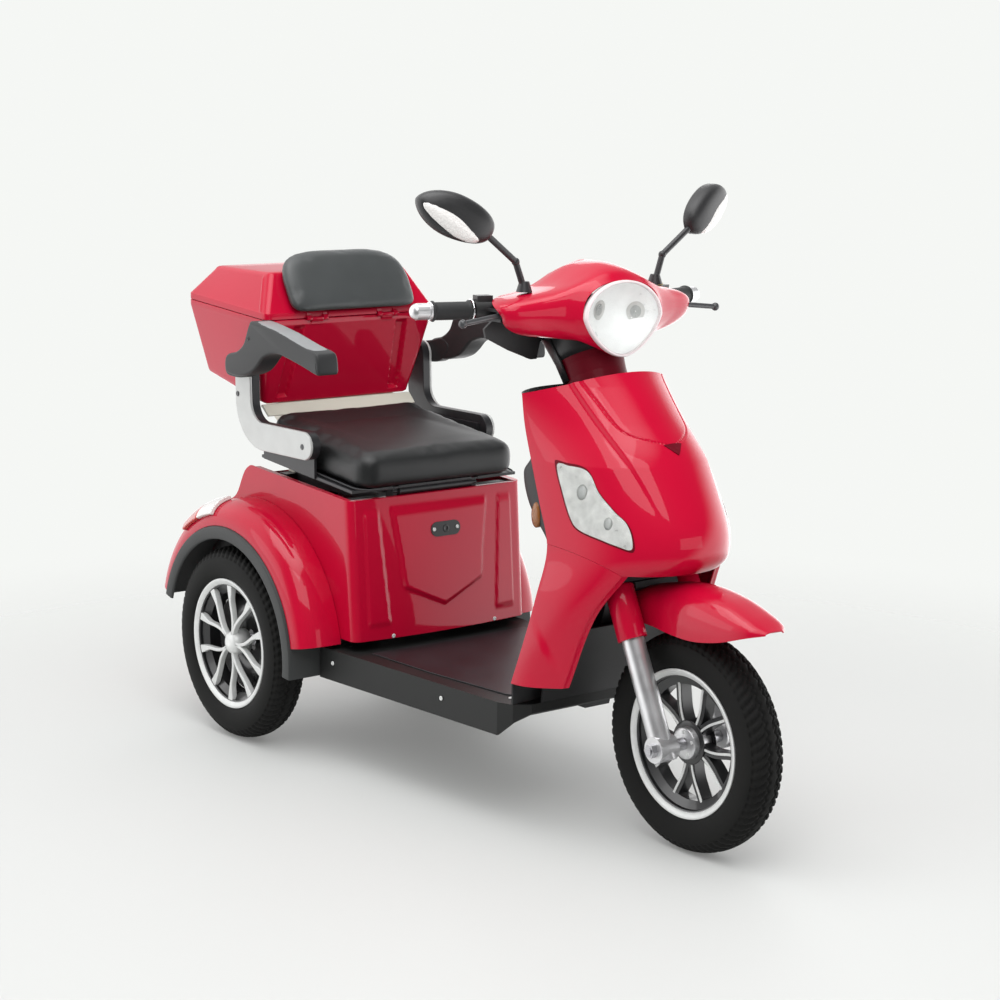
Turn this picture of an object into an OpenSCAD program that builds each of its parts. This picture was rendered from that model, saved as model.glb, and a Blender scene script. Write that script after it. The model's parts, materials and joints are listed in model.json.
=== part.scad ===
// Mobility scooter with three wheels, a tilting seat, flip-up armrests and a trunk behind the seat.
// Millimetres, +X forward, +Y left, +Z up, standing on z = 0. Lengths along X are measured from the
// rear axle, and origin() moves each piece so that the origin lies under the middle of the whole.

/* [Wheels] */
// Distance between the front and rear axles
wheelbase = 1110; // [1105:1:1115]
// Outer radius of each tyre
tyre_r = 204; // [202:0.5:205]
// Width of each tyre
tyre_w = 80; // [76:1:82]
// Radius of each rim at its lip
lip_r = 138; // [136:0.5:140]
// Distance from the middle plane to the middle of each rear wheel
rear_half_track = 271; // [270:0.5:273]
// Pairs of spokes in each wheel
spoke_pairs = 5; // [4:1:6]

/* [Fork and steering] */
// Angle of the steering axis from upright
rake = 25; // [24.5:0.1:25.5]
// Distance from the middle plane to each fork leg
fork_half = 80; // [80:0.5:83]
// Radius of the fixed fork tubes
stanchion_r = 14; // [12:0.5:15]
// Radius of the sliding fork tubes
slider_r = 21; // [19:0.5:22]
// Stroke of the front fork
fork_travel = 55; // [40:1:55]
// Height of the handlebar above the ground
grip_z = 966; // [963:1:969]
// Half of the width over the bar ends
bar_half = 350; // [346:1:356]
// Angle by which the grips sweep back
sweep = 17; // [15:0.5:19]
// Radius of the handlebar tube
bar_r = 11; // [10:0.5:12]

/* [Front body] */
// Half of the width of the front shield
shield_half = 170; // [168:0.5:172]
// Wall of the plastic panels
wall = 3.5; // [3:0.1:4]
// Height of the shield's top edge in the middle
shield_top_z = 853; // [850:1:856]
// Width of the headlight
lamp_w = 184; // [180:1:186]

/* [Footboard] */
// Height of the footboard's top above the ground
floor_z = 242; // [241:0.5:243]
// Height of the footboard's side skirt
skirt_h = 64; // [58:1:66]
// Half of the footboard's width at its front
floor_front_half = 213; // [208:1:216]
// Half of the footboard's width at its rear
floor_rear_half = 244; // [240:1:246]

/* [Rear body] */
// Half of the width of the seat box
box_half = 220; // [219:0.5:221]
// Place of the seat box's front corners at their foot
box_front_x = 347; // [345:1:349]
// Radius of the black trim round each rear wheel
arch_r = 250; // [248:0.5:251]
// Radius at which each rear fender meets the seat box
fender_r = 302; // [298:1:306]

/* [Seat and armrests] */
// Half of the width of the seat cushion
seat_half = 202; // [198:1:204]
// Length of the seat cushion from front to back
seat_depth = 368; // [360:1:370]
// Height of the cushion's underside
seat_z = 575; // [574:0.5:578]
// Thickness of the cushion at its rim
seat_t = 58; // [54:1:62]
// Distance from the middle plane to the inner side of each arm bracket
bracket_in = 224; // [223:0.5:225]

/* [Trunk] */
// Place of the trunk's rearmost edge
trunk_rear_x = -295; // [-300:1:-290]
// Half of the trunk's width at its seam
trunk_half = 215; // [212:0.5:216]
// Height of the trunk's underside at its front
trunk_z = 697; // [695:0.5:700]
// Height of the trunk's top
trunk_top_z = 975; // [970:1:980]

/* [Rear suspension] */
// Place of the swing arm's pivot
pivot_x = 300; // [298:0.5:302]
// Height of the swing arm's pivot
pivot_z = 182; // [181:0.5:183]
// Turns of each rear spring
spring_turns = 8; // [6:1:9]

/* [Hidden] */
$fn = 64;

red = "crimson";
dark = "dimgray";
black = [0.1, 0.1, 0.1];

run = 0.05;      // radial clearance of a running fit
gap = 0.5;       // gap between neighbouring panels
middle_x = (wheelbase + tyre_r + trunk_rear_x) / 2;

// The front body is drawn for this wheelbase and moves with the front axle
drawn_wheelbase = 1110;
ahead = wheelbase - drawn_wheelbase;
function moved(keys) = [for (k = keys) [k[0], k[1] + ahead]];

// Rear wheels stand beside the seat box
wheel_gap = 11;
wheel_y = max(rear_half_track, box_half + wheel_gap + tyre_w / 2);

// Steering axis: heights along it, measured from the front axle
crown_s = 305;
crown_t = 25;
head_s0 = 345;
head_s1 = 520;
head_bore_r = 22;
steerer_r = 15;
bar_s = (grip_z - tyre_r) / cos(rake);
bar_x = wheelbase - (grip_z - tyre_r) * tan(rake);
bend_y = 190;
bar_run = (bar_half - bend_y) / cos(sweep);
axle_r = 7.5;
hub_half = 29.5;

// Smooth curve through keys of the form [t, value]
function span(keys, t, i = 0) = i >= len(keys) - 2 || t < keys[i + 1][0] ? i : span(keys, t, i + 1);
function slope(keys, i) =
    let (a = max(0, i - 1), b = min(len(keys) - 1, i + 1))
    (keys[b][1] - keys[a][1]) / (keys[b][0] - keys[a][0]);
function curve(keys, t) =
    let (
        i = span(keys, t),
        h = keys[i + 1][0] - keys[i][0],
        u = min(1, max(0, (t - keys[i][0]) / h)),
        m0 = slope(keys, i) * h,
        m1 = slope(keys, i + 1) * h
    )
    keys[i][1] * (2 * u ^ 3 - 3 * u ^ 2 + 1) + m0 * (u ^ 3 - 2 * u ^ 2 + u)
    + keys[i + 1][1] * (3 * u ^ 2 - 2 * u ^ 3) + m1 * (u ^ 3 - u ^ 2);

function unit(v) = v / max(norm(v), 1e-9);
function total(v) = [for (x = v) 1] * v;
function mix(a, b, t) = a + (b - a) * t;

// A closed solid from triangles, turned so that its outside is outside
module solid(points, faces) {
    signed = total([for (f = faces) cross(points[f[0]], points[f[1]]) * points[f[2]]]);
    polyhedron(points, signed > 0 ? [for (f = faces) [f[2], f[1], f[0]]] : faces);
}

// Two triangles for each cell of a grid of points, with columns joined up when wrap is set
function cells(rows, cols, start, wrap, flip) = [
    for (i = [0 : rows - 2], j = [0 : cols - (wrap ? 1 : 2)])
        let (k = (j + 1) % cols, a = start + i * cols, b = a + cols)
        each flip ? [[a + j, a + k, b + j], [a + k, b + k, b + j]]
                  : [[a + j, b + j, a + k], [a + k, b + j, b + k]]
];

// Points moved inward by t along the surface's own direction
function inward(grid, t, wrap) =
    let (m = len(grid), n = len(grid[0]))
    [for (i = [0 : m - 1]) [
        for (j = [0 : n - 1])
            let (
                di = grid[min(m - 1, i + 1)][j] - grid[max(0, i - 1)][j],
                dj = wrap ? grid[i][(j + 1) % n] - grid[i][(j + n - 1) % n]
                          : grid[i][min(n - 1, j + 1)] - grid[i][max(0, j - 1)]
            )
            grid[i][j] - unit(cross(di, dj)) * t
    ]];

// A panel of even thickness behind a grid of surface points
module shell(grid, t, wrap = false) {
    m = len(grid);
    n = len(grid[0]);
    back = inward(grid, t, wrap);
    far = m * n;
    last = (m - 1) * n;
    ends = [
        for (j = [0 : n - (wrap ? 1 : 2)])
            let (k = (j + 1) % n)
            each [
                [j, k, far + j], [k, far + k, far + j],
                [last + j, far + last + j, last + k], [last + k, far + last + j, far + last + k]
            ]
    ];
    sides = wrap ? [] : [
        for (i = [0 : m - 2])
            let (a = i * n, b = a + n, c = a + n - 1, d = b + n - 1)
            each [
                [a, far + a, b], [b, far + a, far + b],
                [c, d, far + c], [d, far + d, far + c]
            ]
    ];
    solid(
        concat([for (r = grid) each r], [for (r = back) each r]),
        concat(cells(m, n, 0, wrap, false), cells(m, n, far, wrap, true), ends, sides)
    );
}

// A solid through closed rings of points, with a fan over each end
module skin(rings) {
    m = len(rings);
    n = len(rings[0]);
    foot = total(rings[0]) / n;
    head = total(rings[m - 1]) / n;
    fans = [
        for (j = [0 : n - 1])
            let (k = (j + 1) % n)
            each [[j, k, m * n], [(m - 1) * n + k, (m - 1) * n + j, m * n + 1]]
    ];
    solid(concat([for (r = rings) each r], [foot, head]), concat(cells(m, n, 0, true, false), fans));
}

// Outline of a box with round corners, n points to a corner
function round_box(x0, x1, half0, half1, r, n = 4) = [
    for (c = [0 : 3], i = [0 : n - 1])
        let (
            front = c == 0 || c == 3,
            left = c < 2,
            x = front ? x1 - r : x0 + r,
            y = (left ? 1 : -1) * ((front ? half1 : half0) - r),
            a = 90 * (c + i / (n - 1))
        )
        [x + r * cos(a), y + r * sin(a)]
];

module both_sides() {
    children();
    mirror([0, 1, 0]) children();
}

module tube(p, q, r) {
    d = q - p;
    translate(p) rotate([0, acos(d[2] / norm(d)), atan2(d[1], d[0])]) cylinder(r = r, h = norm(d));
}

// A box by two opposite corners
module block(a, b) {
    translate([min(a[0], b[0]), min(a[1], b[1]), min(a[2], b[2])])
        cube([abs(b[0] - a[0]), abs(b[1] - a[1]), abs(b[2] - a[2])]);
}

// A cylinder along Y between two distances from the middle plane
module axial(x, z, y0, y1, r) {
    translate([x, y1, z]) rotate([90, 0, 0]) cylinder(r = r, h = y1 - y0);
}

// Local z runs up the steering axis from the front axle, and local x points forward
module on_fork() {
    translate([wheelbase, 0, tyre_r]) rotate([0, -rake, 0]) children();
}

// Local z runs outward along the left grip from the handlebar's bend
module on_grip() {
    translate([bar_x, bend_y, grip_z]) rotate([-90, 0, sweep]) children();
}

// A shape turned about an axle along Y; its axial direction points to -Y
module turned(x, z, start = 0, angle = 360) {
    translate([x, 0, z]) rotate([90, 0, 0]) rotate([0, 0, start]) rotate_extrude(angle = angle) children();
}

module origin() {
    translate([-middle_x, 0, 0]) children();
}

// Frame

rail_in = 103;
rail_w = 34;
rail_z = floor_z - 5 - rail_w;
rail_front_x = 795 + ahead;
beam_half = 30;
beam_foot_z = rail_z + 6;
pin_r = 10;
arm_y = 165;
arm_w = 42;

module main_frame() {
    plate_out = rail_in + rail_w;
    beam_foot_x = rail_front_x - ahead - 1;
    color(black) difference() {
        union() {
            on_fork() translate([0, 0, head_s0]) cylinder(r = head_bore_r + 5, h = head_s1 - head_s0);
            translate([ahead, beam_half, 0]) rotate([90, 0, 0]) linear_extrude(2 * beam_half) polygon([
                [beam_foot_x, beam_foot_z], [beam_foot_x, floor_z - 8], [830, floor_z - 8],
                [837, 300], [851, 350], [867, 400], [881, 450], [900, 520], [918, 580],
                [935, 590], [945, 560], [909, 485], [898, 450], [884, 400], [868, 350], [853, 300],
                [844, floor_z - 12], [838, beam_foot_z]
            ]);
            block([rail_front_x - 40, -plate_out, rail_z], [rail_front_x, plate_out, rail_z + rail_w]);
            block([520, -plate_out, rail_z], [550, plate_out, rail_z + rail_w]);
            both_sides() {
                block([75, rail_in, rail_z], [rail_front_x, plate_out, rail_z + rail_w]);
                block([pivot_x - 20, plate_out - 12, pivot_z - 20], [pivot_x + 20, plate_out, rail_z]);
                axial(pivot_x, pivot_z, plate_out - 12, arm_y + arm_w / 2 + 1.5, pin_r);
                axial(pivot_x, pivot_z, arm_y + arm_w / 2 + 1, arm_y + arm_w / 2 + 5, pin_r + 5);
            }
        }
        on_fork() translate([0, 0, head_s0 - 1]) cylinder(r = head_bore_r, h = head_s1 - head_s0 + 2);
    }
}

module head_bearings() {
    ring_h = 12;
    color("silver") on_fork() for (s = [head_s0, head_s1 - ring_h]) translate([0, 0, s]) difference() {
        cylinder(r = head_bore_r - run, h = ring_h);
        translate([0, 0, -1]) cylinder(r = steerer_r + run, h = ring_h + 2);
    }
}

tray_z = 266;
tray_t = 6;
seat_rail_in = 90;
seat_rail_w = 20;
seat_rail_z = 525;
post_x = [75, 277];
rack_post = [-62, -40];
hinge_x = 313;
hinge_z = 556;
hinge_pin_r = 5;
shock_x = -45;
shock_y = 120;
shock_low_z = 225;
shock_top_z = 470;
eye_half = 7;
eye_r = 14;
shock_pin_r = 6;
lug_t = 6;

// A pair of lugs with a pin between them, on either side of an eye on the shock
module shock_lugs(z, z0, z1) {
    for (y = [shock_y - eye_half - 3 - lug_t, shock_y + eye_half + 3])
        block([shock_x - 15, y, z0], [shock_x + 15, y + lug_t, z1]);
    axial(shock_x, z, shock_y - eye_half - 3 - lug_t, shock_y + eye_half + 3 + lug_t, shock_pin_r);
}

module seat_frame() {
    rail_out = seat_rail_in + seat_rail_w;
    top = seat_rail_z + seat_rail_w;
    wide = box_half - 20;
    side = box_half - wall - gap;
    color(black) {
        difference() {
            block([post_x[0] + 5, -wide, tray_z], [post_x[1] + 23, wide, tray_z + tray_t]);
            both_sides() block([post_x[0], seat_rail_in, tray_z - 1],
                               [post_x[0] + seat_rail_w, rail_out, tray_z + tray_t + 1]);
        }
        block([post_x[1], -side, seat_rail_z], [post_x[1] + seat_rail_w, side, top]);
        block([rack_post[0], -rail_out, seat_rail_z], [rack_post[0] + seat_rail_w, rail_out, top]);
        both_sides() {
            block([rack_post[0], seat_rail_in, seat_rail_z], [post_x[1] + 1, rail_out, top]);
            block([post_x[0], seat_rail_in, floor_z - 5], [post_x[0] + seat_rail_w, rail_out, seat_rail_z + 1]);
            block([post_x[1], wide - seat_rail_w, tray_z + tray_t - 1],
                  [post_x[1] + seat_rail_w, wide, seat_rail_z + 1]);
            for (x = [post_x[0] + 25, post_x[1] - 45])
                block([x, rail_in, floor_z - 5], [x + 20, rail_in + rail_w, tray_z + 1]);
            shock_lugs(shock_top_z, shock_top_z - 10, seat_rail_z + 1);
            block([shock_x - 15, rail_out - 1, seat_rail_z],
                  [shock_x + 15, shock_y + eye_half + 3 + lug_t, top]);
            block([post_x[1] + 15, 96, seat_rail_z + 5], [hinge_x + 3, 106, hinge_z + 6]);
        }
        axial(hinge_x, hinge_z, -106, 106, hinge_pin_r);
    }
}

// Underside of the trunk at a place x, rising towards the rear
trunk_low = [-266, -36, 190];
trunk_rise = 0.21;
function trunk_foot(x) = trunk_z + trunk_rise * (trunk_low[1] - x);

rack_t = 8;
rack_half = 150;
rack_rear_x = trunk_rear_x + 62;

module trunk_rack() {
    top = seat_rail_z + seat_rail_w;
    lip = trunk_z - 0.4;
    stay_x = rack_rear_x + 33;
    color("lightgray") {
        translate([0, rack_half, 0]) rotate([90, 0, 0]) linear_extrude(2 * rack_half) polygon([
            for (p = [[rack_rear_x, -0.2], [trunk_low[1] - 2, -0.2],
                      [trunk_low[1] - 2, -0.2 - rack_t], [rack_rear_x, -0.2 - rack_t]])
                [p[0], trunk_foot(p[0]) + p[1]]
        ]);
        translate([0, trunk_low[2], 0]) rotate([90, 0, 0]) linear_extrude(2 * trunk_low[2]) polygon([
            [trunk_low[1] - 8, lip], [trunk_low[1], lip], [trunk_low[1] + 21, lip - 20],
            [trunk_low[1] + 18, lip - 22], [trunk_low[1] - 4, lip - 5], [trunk_low[1] - 8, lip - 5]
        ]);
        both_sides() translate([0, seat_rail_in + seat_rail_w, 0]) rotate([90, 0, 0])
            linear_extrude(seat_rail_w) polygon([
                [rack_post[0], top], [rack_post[1], top], [rack_post[1], trunk_foot(rack_post[1]) - rack_t + 1],
                [stay_x, trunk_foot(stay_x) - rack_t + 1], [stay_x, trunk_foot(stay_x) - rack_t - 8],
                [rack_post[0] - 12, top + 80], [rack_post[0], top + 55]
            ]);
    }
}

// Footboard

floor_back_x = 256;
floor_front_x = 852 + ahead;
toe_x = 800 + ahead;
skirt_t = 5;
toe_slope = 42;

function floor_outline(inset) = [
    [floor_back_x + inset, -floor_rear_half + inset],
    [toe_x, -floor_front_half + inset],
    [toe_x + 32, -floor_front_half + 12 + inset],
    [floor_front_x - inset, -floor_front_half + 42],
    [floor_front_x - inset, floor_front_half - 42],
    [toe_x + 32, floor_front_half - 12 - inset],
    [toe_x, floor_front_half - inset],
    [floor_back_x + inset, floor_rear_half - inset]
];

module footboard() {
    color(dark) difference() {
        translate([0, 0, floor_z - skirt_h]) linear_extrude(skirt_h) polygon(floor_outline(0));
        translate([0, 0, floor_z - skirt_h - 1])
            linear_extrude(skirt_h + 1 - skirt_t) polygon(floor_outline(skirt_t));
        block([floor_back_x - 1, -floor_rear_half + skirt_t, 0],
              [floor_back_x + 9, floor_rear_half - skirt_t, floor_z - skirt_t]);
        block([floor_front_x - 23.5, -beam_half - 2, floor_z - 20],
              [floor_front_x - skirt_t, beam_half + 2, floor_z + 1]);
        translate([toe_x, -300, floor_z - skirt_h]) rotate([0, -toe_slope, 0])
            translate([-20, 0, -60]) cube([140, 600, 60]);
    }
}

mat_t = 3;
module floor_mat() {
    color(black) translate([0, 0, floor_z]) linear_extrude(mat_t) polygon([
        [372, -196], [560, -190], [toe_x - 30, -170], [toe_x + 12, -150],
        [toe_x + 12, 150], [toe_x - 30, 170], [560, 190], [372, 196]
    ]);
}

// Front body: the side edge runs from the foot of the leg panels to the top of the shield

shield_low_z = 512;
shield_knee_z = 551;
shield_shoulder_z = 817;
leg_foot_z = 283;
edge_x = moved([[leg_foot_z, 830], [380, 862], [450, 878], [shield_knee_z, 885], [620, 860], [698, 833],
                [760, 814], [shield_shoulder_z, 805], [860, 799]]);
edge_y = [[leg_foot_z, shield_half + 36], [380, shield_half + 29], [450, shield_half + 20],
          [shield_knee_z, shield_half], [860, shield_half - 1]];
nose_x = moved([[500, 1080], [530, 1120], [560, 1129], [600, 1121], [650, 1093], [713, 1046], [770, 990],
                [830, 932], [860, 903]]);

// A point of the shield, a degrees round from the middle at height z
function shield_at(a, z) =
    let (
        full = min(1, max(0, (z - 700) / 130)),
        x = curve(edge_x, z)
    )
    [x + (curve(nose_x, z) - x) * pow(max(0, cos(a)), 1 + full), curve(edge_y, z) * sin(a), z];
function shield_foot(a) = shield_low_z + (shield_knee_z - shield_low_z) * sin(a) ^ 2;
function shield_head(a) = shield_top_z - (shield_top_z - shield_shoulder_z) * sin(a) ^ 2;

module front_shield() {
    rows = 14;
    cols = 20;
    color(red) shell([
        for (i = [0 : rows])
            [for (j = [0 : cols])
                let (a = 90 - 180 * j / cols)
                shield_at(a, mix(shield_foot(a), shield_head(a), i / rows))]
    ], wall);
}

// Each leg panel hangs from the shield's lower edge, between its rear edge and the wheel arch
arch_edge = [for (k = [[0, [1041, 131, 511]], [0.4, [984, 150, 430]], [1, [930, 165, 288]]])
    [k[0], k[1] + [ahead, 0, 0]]];
arch_a = 50;

function leg_at(s, t) =
    let (
        z = mix(shield_knee_z, leg_foot_z, t),
        rear = [curve(edge_x, z), curve(edge_y, z), z],
        top_a = mix(90, arch_a, s),
        top = shield_at(top_a, shield_foot(top_a)),
        top_line = mix(shield_at(90, shield_knee_z), shield_at(arch_a, shield_foot(arch_a)), s),
        swell = 10 * sin(180 * s) * t
    )
    mix(rear, curve(arch_edge, t), s) + (top - top_line) * (1 - t) + [0, swell, -gap * (1 - t)];

module leg_panels() {
    rows = 8;
    cols = 7;
    color(red) both_sides() shell([
        for (i = [0 : rows]) [for (j = [0 : cols]) leg_at(1 - j / cols, i / rows)]
    ], wall);
}

// Dark inside of the leg shield, with a knee bulge and a hump round the steering column
bulge = [[floor_z, 8], [330, 14], [500, 16], [560, 30], [610, 58], [668, 60], [700, 34], [740, 36], [817, 64]];
// How squarely the bulge falls off towards the sides, over its height
bulge_square = [[floor_z, 3], [540, 3], [580, 14], [672, 14], [712, 3], [817, 3]];

function inner_at(u, z) =
    let (low = max(z, leg_foot_z), square = curve(bulge_square, z))
    [
        curve(edge_x, low) - gap - curve(bulge, z) * pow(1 - abs(u) ^ square, mix(0.84, 0.5, square / 14)),
        (curve(edge_y, low) - wall - 0.9) * u,
        z
    ];

module inner_leg_shield() {
    rows = 16;
    cols = 14;
    column_x = wheelbase - (shield_shoulder_z - tyre_r) * tan(rake);
    lid = 4;
    steps = 12;
    lid_half = shield_half - 12;
    front = [for (i = [-steps : steps]) let (y = lid_half * i / steps)
        [ahead + mix(808, 926, 1 - (y / lid_half) ^ 2), y]];
    rear = [for (i = [steps : -1 : -steps]) let (y = lid_half * i / steps)
        [ahead + 805.2 - 56 * (1 - (y / lid_half) ^ 2), y]];
    color(dark) {
        shell([
            for (i = [0 : rows])
                [for (j = [0 : cols])
                    inner_at(sin(90 - 180 * j / cols), mix(floor_z + gap, shield_shoulder_z - 1, i / rows))]
        ], -wall);
        translate([0, 0, shield_shoulder_z - 8]) linear_extrude(lid) difference() {
            polygon(concat(front, rear));
            translate([column_x, 0]) circle(r = 72);
        }
    }
}

liner_c = [wheelbase - 12, tyre_r + 26];
liner_r = 245;
module wheel_well_liner() {
    half = 150;
    color(black) turned(liner_c[0], liner_c[1], 141, 36) translate([liner_r, -half]) square([3, 2 * half]);
}

// Turn signal lens on each side of the shield, given by its edges as [angle, height]
lens_rear = [[-73.5, 696], [-71, 589]];
lens_front = [[-55.5, 694], [-44, 562]];
module front_signal_lenses() {
    rows = 6;
    cols = 5;
    proud = 2.5;
    skin_t = 2;
    grid = [for (i = [0 : rows])
        let (a = mix(lens_front[0], lens_front[1], i / rows), b = mix(lens_rear[0], lens_rear[1], i / rows))
        [for (j = [0 : cols]) let (p = mix(b, a, j / cols)) shield_at(p[0], p[1])]];
    color("white") both_sides() shell(inward(grid, -proud, false), skin_t);
}

// Rear body

box_low_z = 262;
box_top_front_z = 548;
box_top_rear_z = 572;
box_back_x = -165;
box_shoulder_x = -41;

// Upper edge of the box behind its shoulder, as [x, height]
box_edge = [[box_back_x, 478], [-130, 484], [-104, 496], [-92, 508], [-82, 525], [-72, 544], [-60, 560],
            [box_shoulder_x, box_top_rear_z]];
box_corner = 20;
box_lean = 21;
box_swell = [12, 4];

// Plan of the seat box at a height t from its foot: one side, the front, the other side
function box_plan(t) =
    let (
        front = box_front_x - box_lean * t,
        flat = box_half - box_corner,
        swell = mix(box_swell[0], box_swell[1], t),
        side = concat(
            [for (k = box_edge) [k[0], box_half]],
            [for (i = [1 : 4]) [mix(box_shoulder_x, front - box_corner, i / 4), box_half]]
        ),
        bend = [for (a = [72 : -18 : 18])
            [front - box_corner + box_corner * cos(a), flat + box_corner * sin(a)]],
        face = [for (i = [0 : 5]) let (y = flat * (1 - i / 5)) [front + swell * (1 - (y / flat) ^ 2), y]],
        half = concat(side, bend, face)
    )
    concat(half, [for (i = [len(half) - 2 : -1 : 0]) [half[i][0], -half[i][1]]]);

function box_top(x) = x < box_shoulder_x ? curve(box_edge, x) :
    mix(box_top_rear_z, box_top_front_z, min(1, (x - box_shoulder_x) / (box_front_x + 20)));

module seat_box() {
    rows = 5;
    color(red) shell([
        for (i = [0 : rows])
            [for (p = box_plan(i / rows)) [p[0], p[1], mix(box_low_z, box_top(p[0]), i / rows)]]
    ], wall);
}

// Section of a rear fender as [radius, distance from the middle plane], from the rim to the box
trim_out = wheel_y + 44;
function fender_section(t) = [
    for (i = [0 : 6])
        let (a = 90 * i / 6)
        [arch_r + 0.3 + (fender_r - arch_r - 0.3 - t) * sin(a) ^ 0.9,
         box_half + gap + (trim_out - 6 - box_half - gap - t) * cos(a) ^ 0.7]
];

module rear_fender() {
    outer = fender_section(0);
    inner = fender_section(wall);
    color(red) turned(0, tyre_r, 9, 155)
        polygon(concat(outer, [for (i = [6 : -1 : 0]) inner[i]]));
}

module rear_fender_right() { rear_fender(); }
module rear_fender_left() { mirror([0, 1, 0]) rear_fender(); }

module wheel_arch_trims() {
    face = 28;
    inner = wheel_y - 44;
    color(black) both_sides() turned(0, tyre_r, -6, 171) polygon([
        [arch_r - 4, inner], [arch_r, inner], [arch_r, trim_out], [arch_r - face, trim_out],
        [arch_r - face, trim_out - 4], [arch_r - 4, trim_out - 4]
    ]);
}

module rear_lamps() {
    lamp_in = 232;
    color("white") both_sides() turned(0, tyre_r, 100, 24) polygon([
        [fender_r - 0.1, lamp_in], [fender_r + 16, lamp_in + 4], [fender_r + 16, lamp_in + 24],
        [fender_r + 8, lamp_in + 38], [fender_r - 0.1, lamp_in + 40]
    ]);
}

module tail_panel() {
    half = box_half - wall - gap;
    front_x = rack_post[0] - 2;
    drop = 8;
    keys = concat([for (k = box_edge) if (k[0] < front_x) k[0]], [front_x]);
    color(red) {
        translate([0, half, 0]) rotate([90, 0, 0]) linear_extrude(2 * half) polygon(concat(
            [for (x = keys) [x, box_top(x) - drop]],
            [for (i = [len(keys) - 1 : -1 : 0]) [keys[i], box_top(keys[i]) - 2 * drop]]
        ));
        difference() {
            block([box_back_x, -half, 290], [box_back_x + 4, half, box_top(box_back_x) - drop - 1]);
            translate([box_back_x - 1, 0, 410]) rotate([0, 90, 0]) cylinder(r = 30, h = 6);
        }
    }
}

module battery_pack() {
    count = 5;
    step = 2 * (box_half - wall - 19) / count;
    size = [181, step - 2, 168];
    post = 6;
    color("slategray") for (i = [0 : count - 1])
        translate([post_x[0] + 20.5, (i - (count - 1) / 2) * step - size[1] / 2, tray_z + tray_t]) {
            cube(size);
            for (x = [24, size[0] - 24]) translate([x, size[1] / 2, size[2]]) cylinder(r = post, h = 8);
        }
}

module controller() {
    half = seat_rail_in + 10;
    rear_x = -55;
    front_x = post_x[0] - 10;
    color("silver") {
        block([rear_x, -half, 480], [front_x, half, seat_rail_z - 0.3]);
        for (y = [-80 : 16 : 80]) block([rear_x, y - 2, 460], [front_x, y + 2, 481]);
    }
}

socket_y = 8;
socket_z = 472;
module charge_socket() {
    t = (socket_z - box_low_z) / (box_top_front_z - box_low_z);
    flat = box_half - box_corner;
    face_x = box_front_x - box_lean * t + mix(box_swell[0], box_swell[1], t) * (1 - (socket_y / flat) ^ 2);
    slant = atan((box_lean + box_swell[0] - box_swell[1]) / (box_top_front_z - box_low_z));
    color(black) translate([face_x, socket_y, socket_z]) rotate([0, 90 - slant, 0])
    translate([0, 0, 0.4]) difference() {
        linear_extrude(6) {
            translate([-15, -22]) square([30, 44]);
            for (y = [-22, 22]) translate([0, y]) circle(r = 15);
        }
        translate([0, 0, 1.5]) cylinder(r = 8, h = 6);
    }
}

// Trunk

trunk_front_x = 17;
trunk_high = [-252, -27, 178];
trunk_corner = 14;
seam_front_z = 880;
seam_rear_z = 902;
trunk_wall = 4;
base_bead = 12;
lid_bead = 14;
lid_edge = 8;

function seam(x) = mix(seam_front_z, seam_rear_z, (trunk_front_x - x) / (trunk_front_x - trunk_rear_x));
function seam_ring(inset, lift) = [
    for (p = round_box(trunk_rear_x + inset, trunk_front_x - inset, trunk_half - inset, trunk_half - inset,
                       trunk_corner))
        [p[0], p[1], seam(p[0]) + lift]
];
function foot_ring(rear, front, side, r, lift) = [
    for (p = round_box(trunk_low[0] + rear, trunk_low[1] - front, trunk_low[2] - side, trunk_low[2] - side, r))
        [p[0], p[1], trunk_foot(p[0]) + lift]
];
function head_ring(inset, r, z) = [
    for (p = round_box(trunk_high[0] + inset, trunk_high[1] - inset, trunk_high[2] - inset,
                       trunk_high[2] - inset, r)) [p[0], p[1], z]
];

// Two small hinges on the front of the seam
lid_hinge = [trunk_front_x + 4.6, seam_front_z];
hinge_y = [-90, 90];
knuckle_r = 4;
knuckle_half = 14;
hinge_half = 26;
lid_pin_r = 1.9;
leaf_t = 2;

module trunk_base() {
    w = trunk_wall;
    z = seam_front_z;
    color(red) skin([
        foot_ring(10, 6, 8, 10, 0), foot_ring(0, 0, 0, trunk_corner, 9),
        seam_ring(0, -base_bead), seam_ring(0, -gap), seam_ring(w, -gap), seam_ring(w, -base_bead),
        foot_ring(w, w, w, trunk_corner - w, 11), foot_ring(14, 10, 12, 8, w + 1)
    ]);
    color(black) for (y = hinge_y) difference() {
        union() {
            axial(lid_hinge[0], z, y - knuckle_half, y + knuckle_half, knuckle_r);
            block([trunk_front_x - 1, y - knuckle_half, z - base_bead],
                  [trunk_front_x + leaf_t, y + knuckle_half, z - 3]);
            block([trunk_front_x, y - knuckle_half, z - 7], [lid_hinge[0] + 2, y + knuckle_half, z - 2.5]);
        }
        axial(lid_hinge[0], z, y - knuckle_half - 1, y + knuckle_half + 1, lid_pin_r + run);
    }
}

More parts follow.
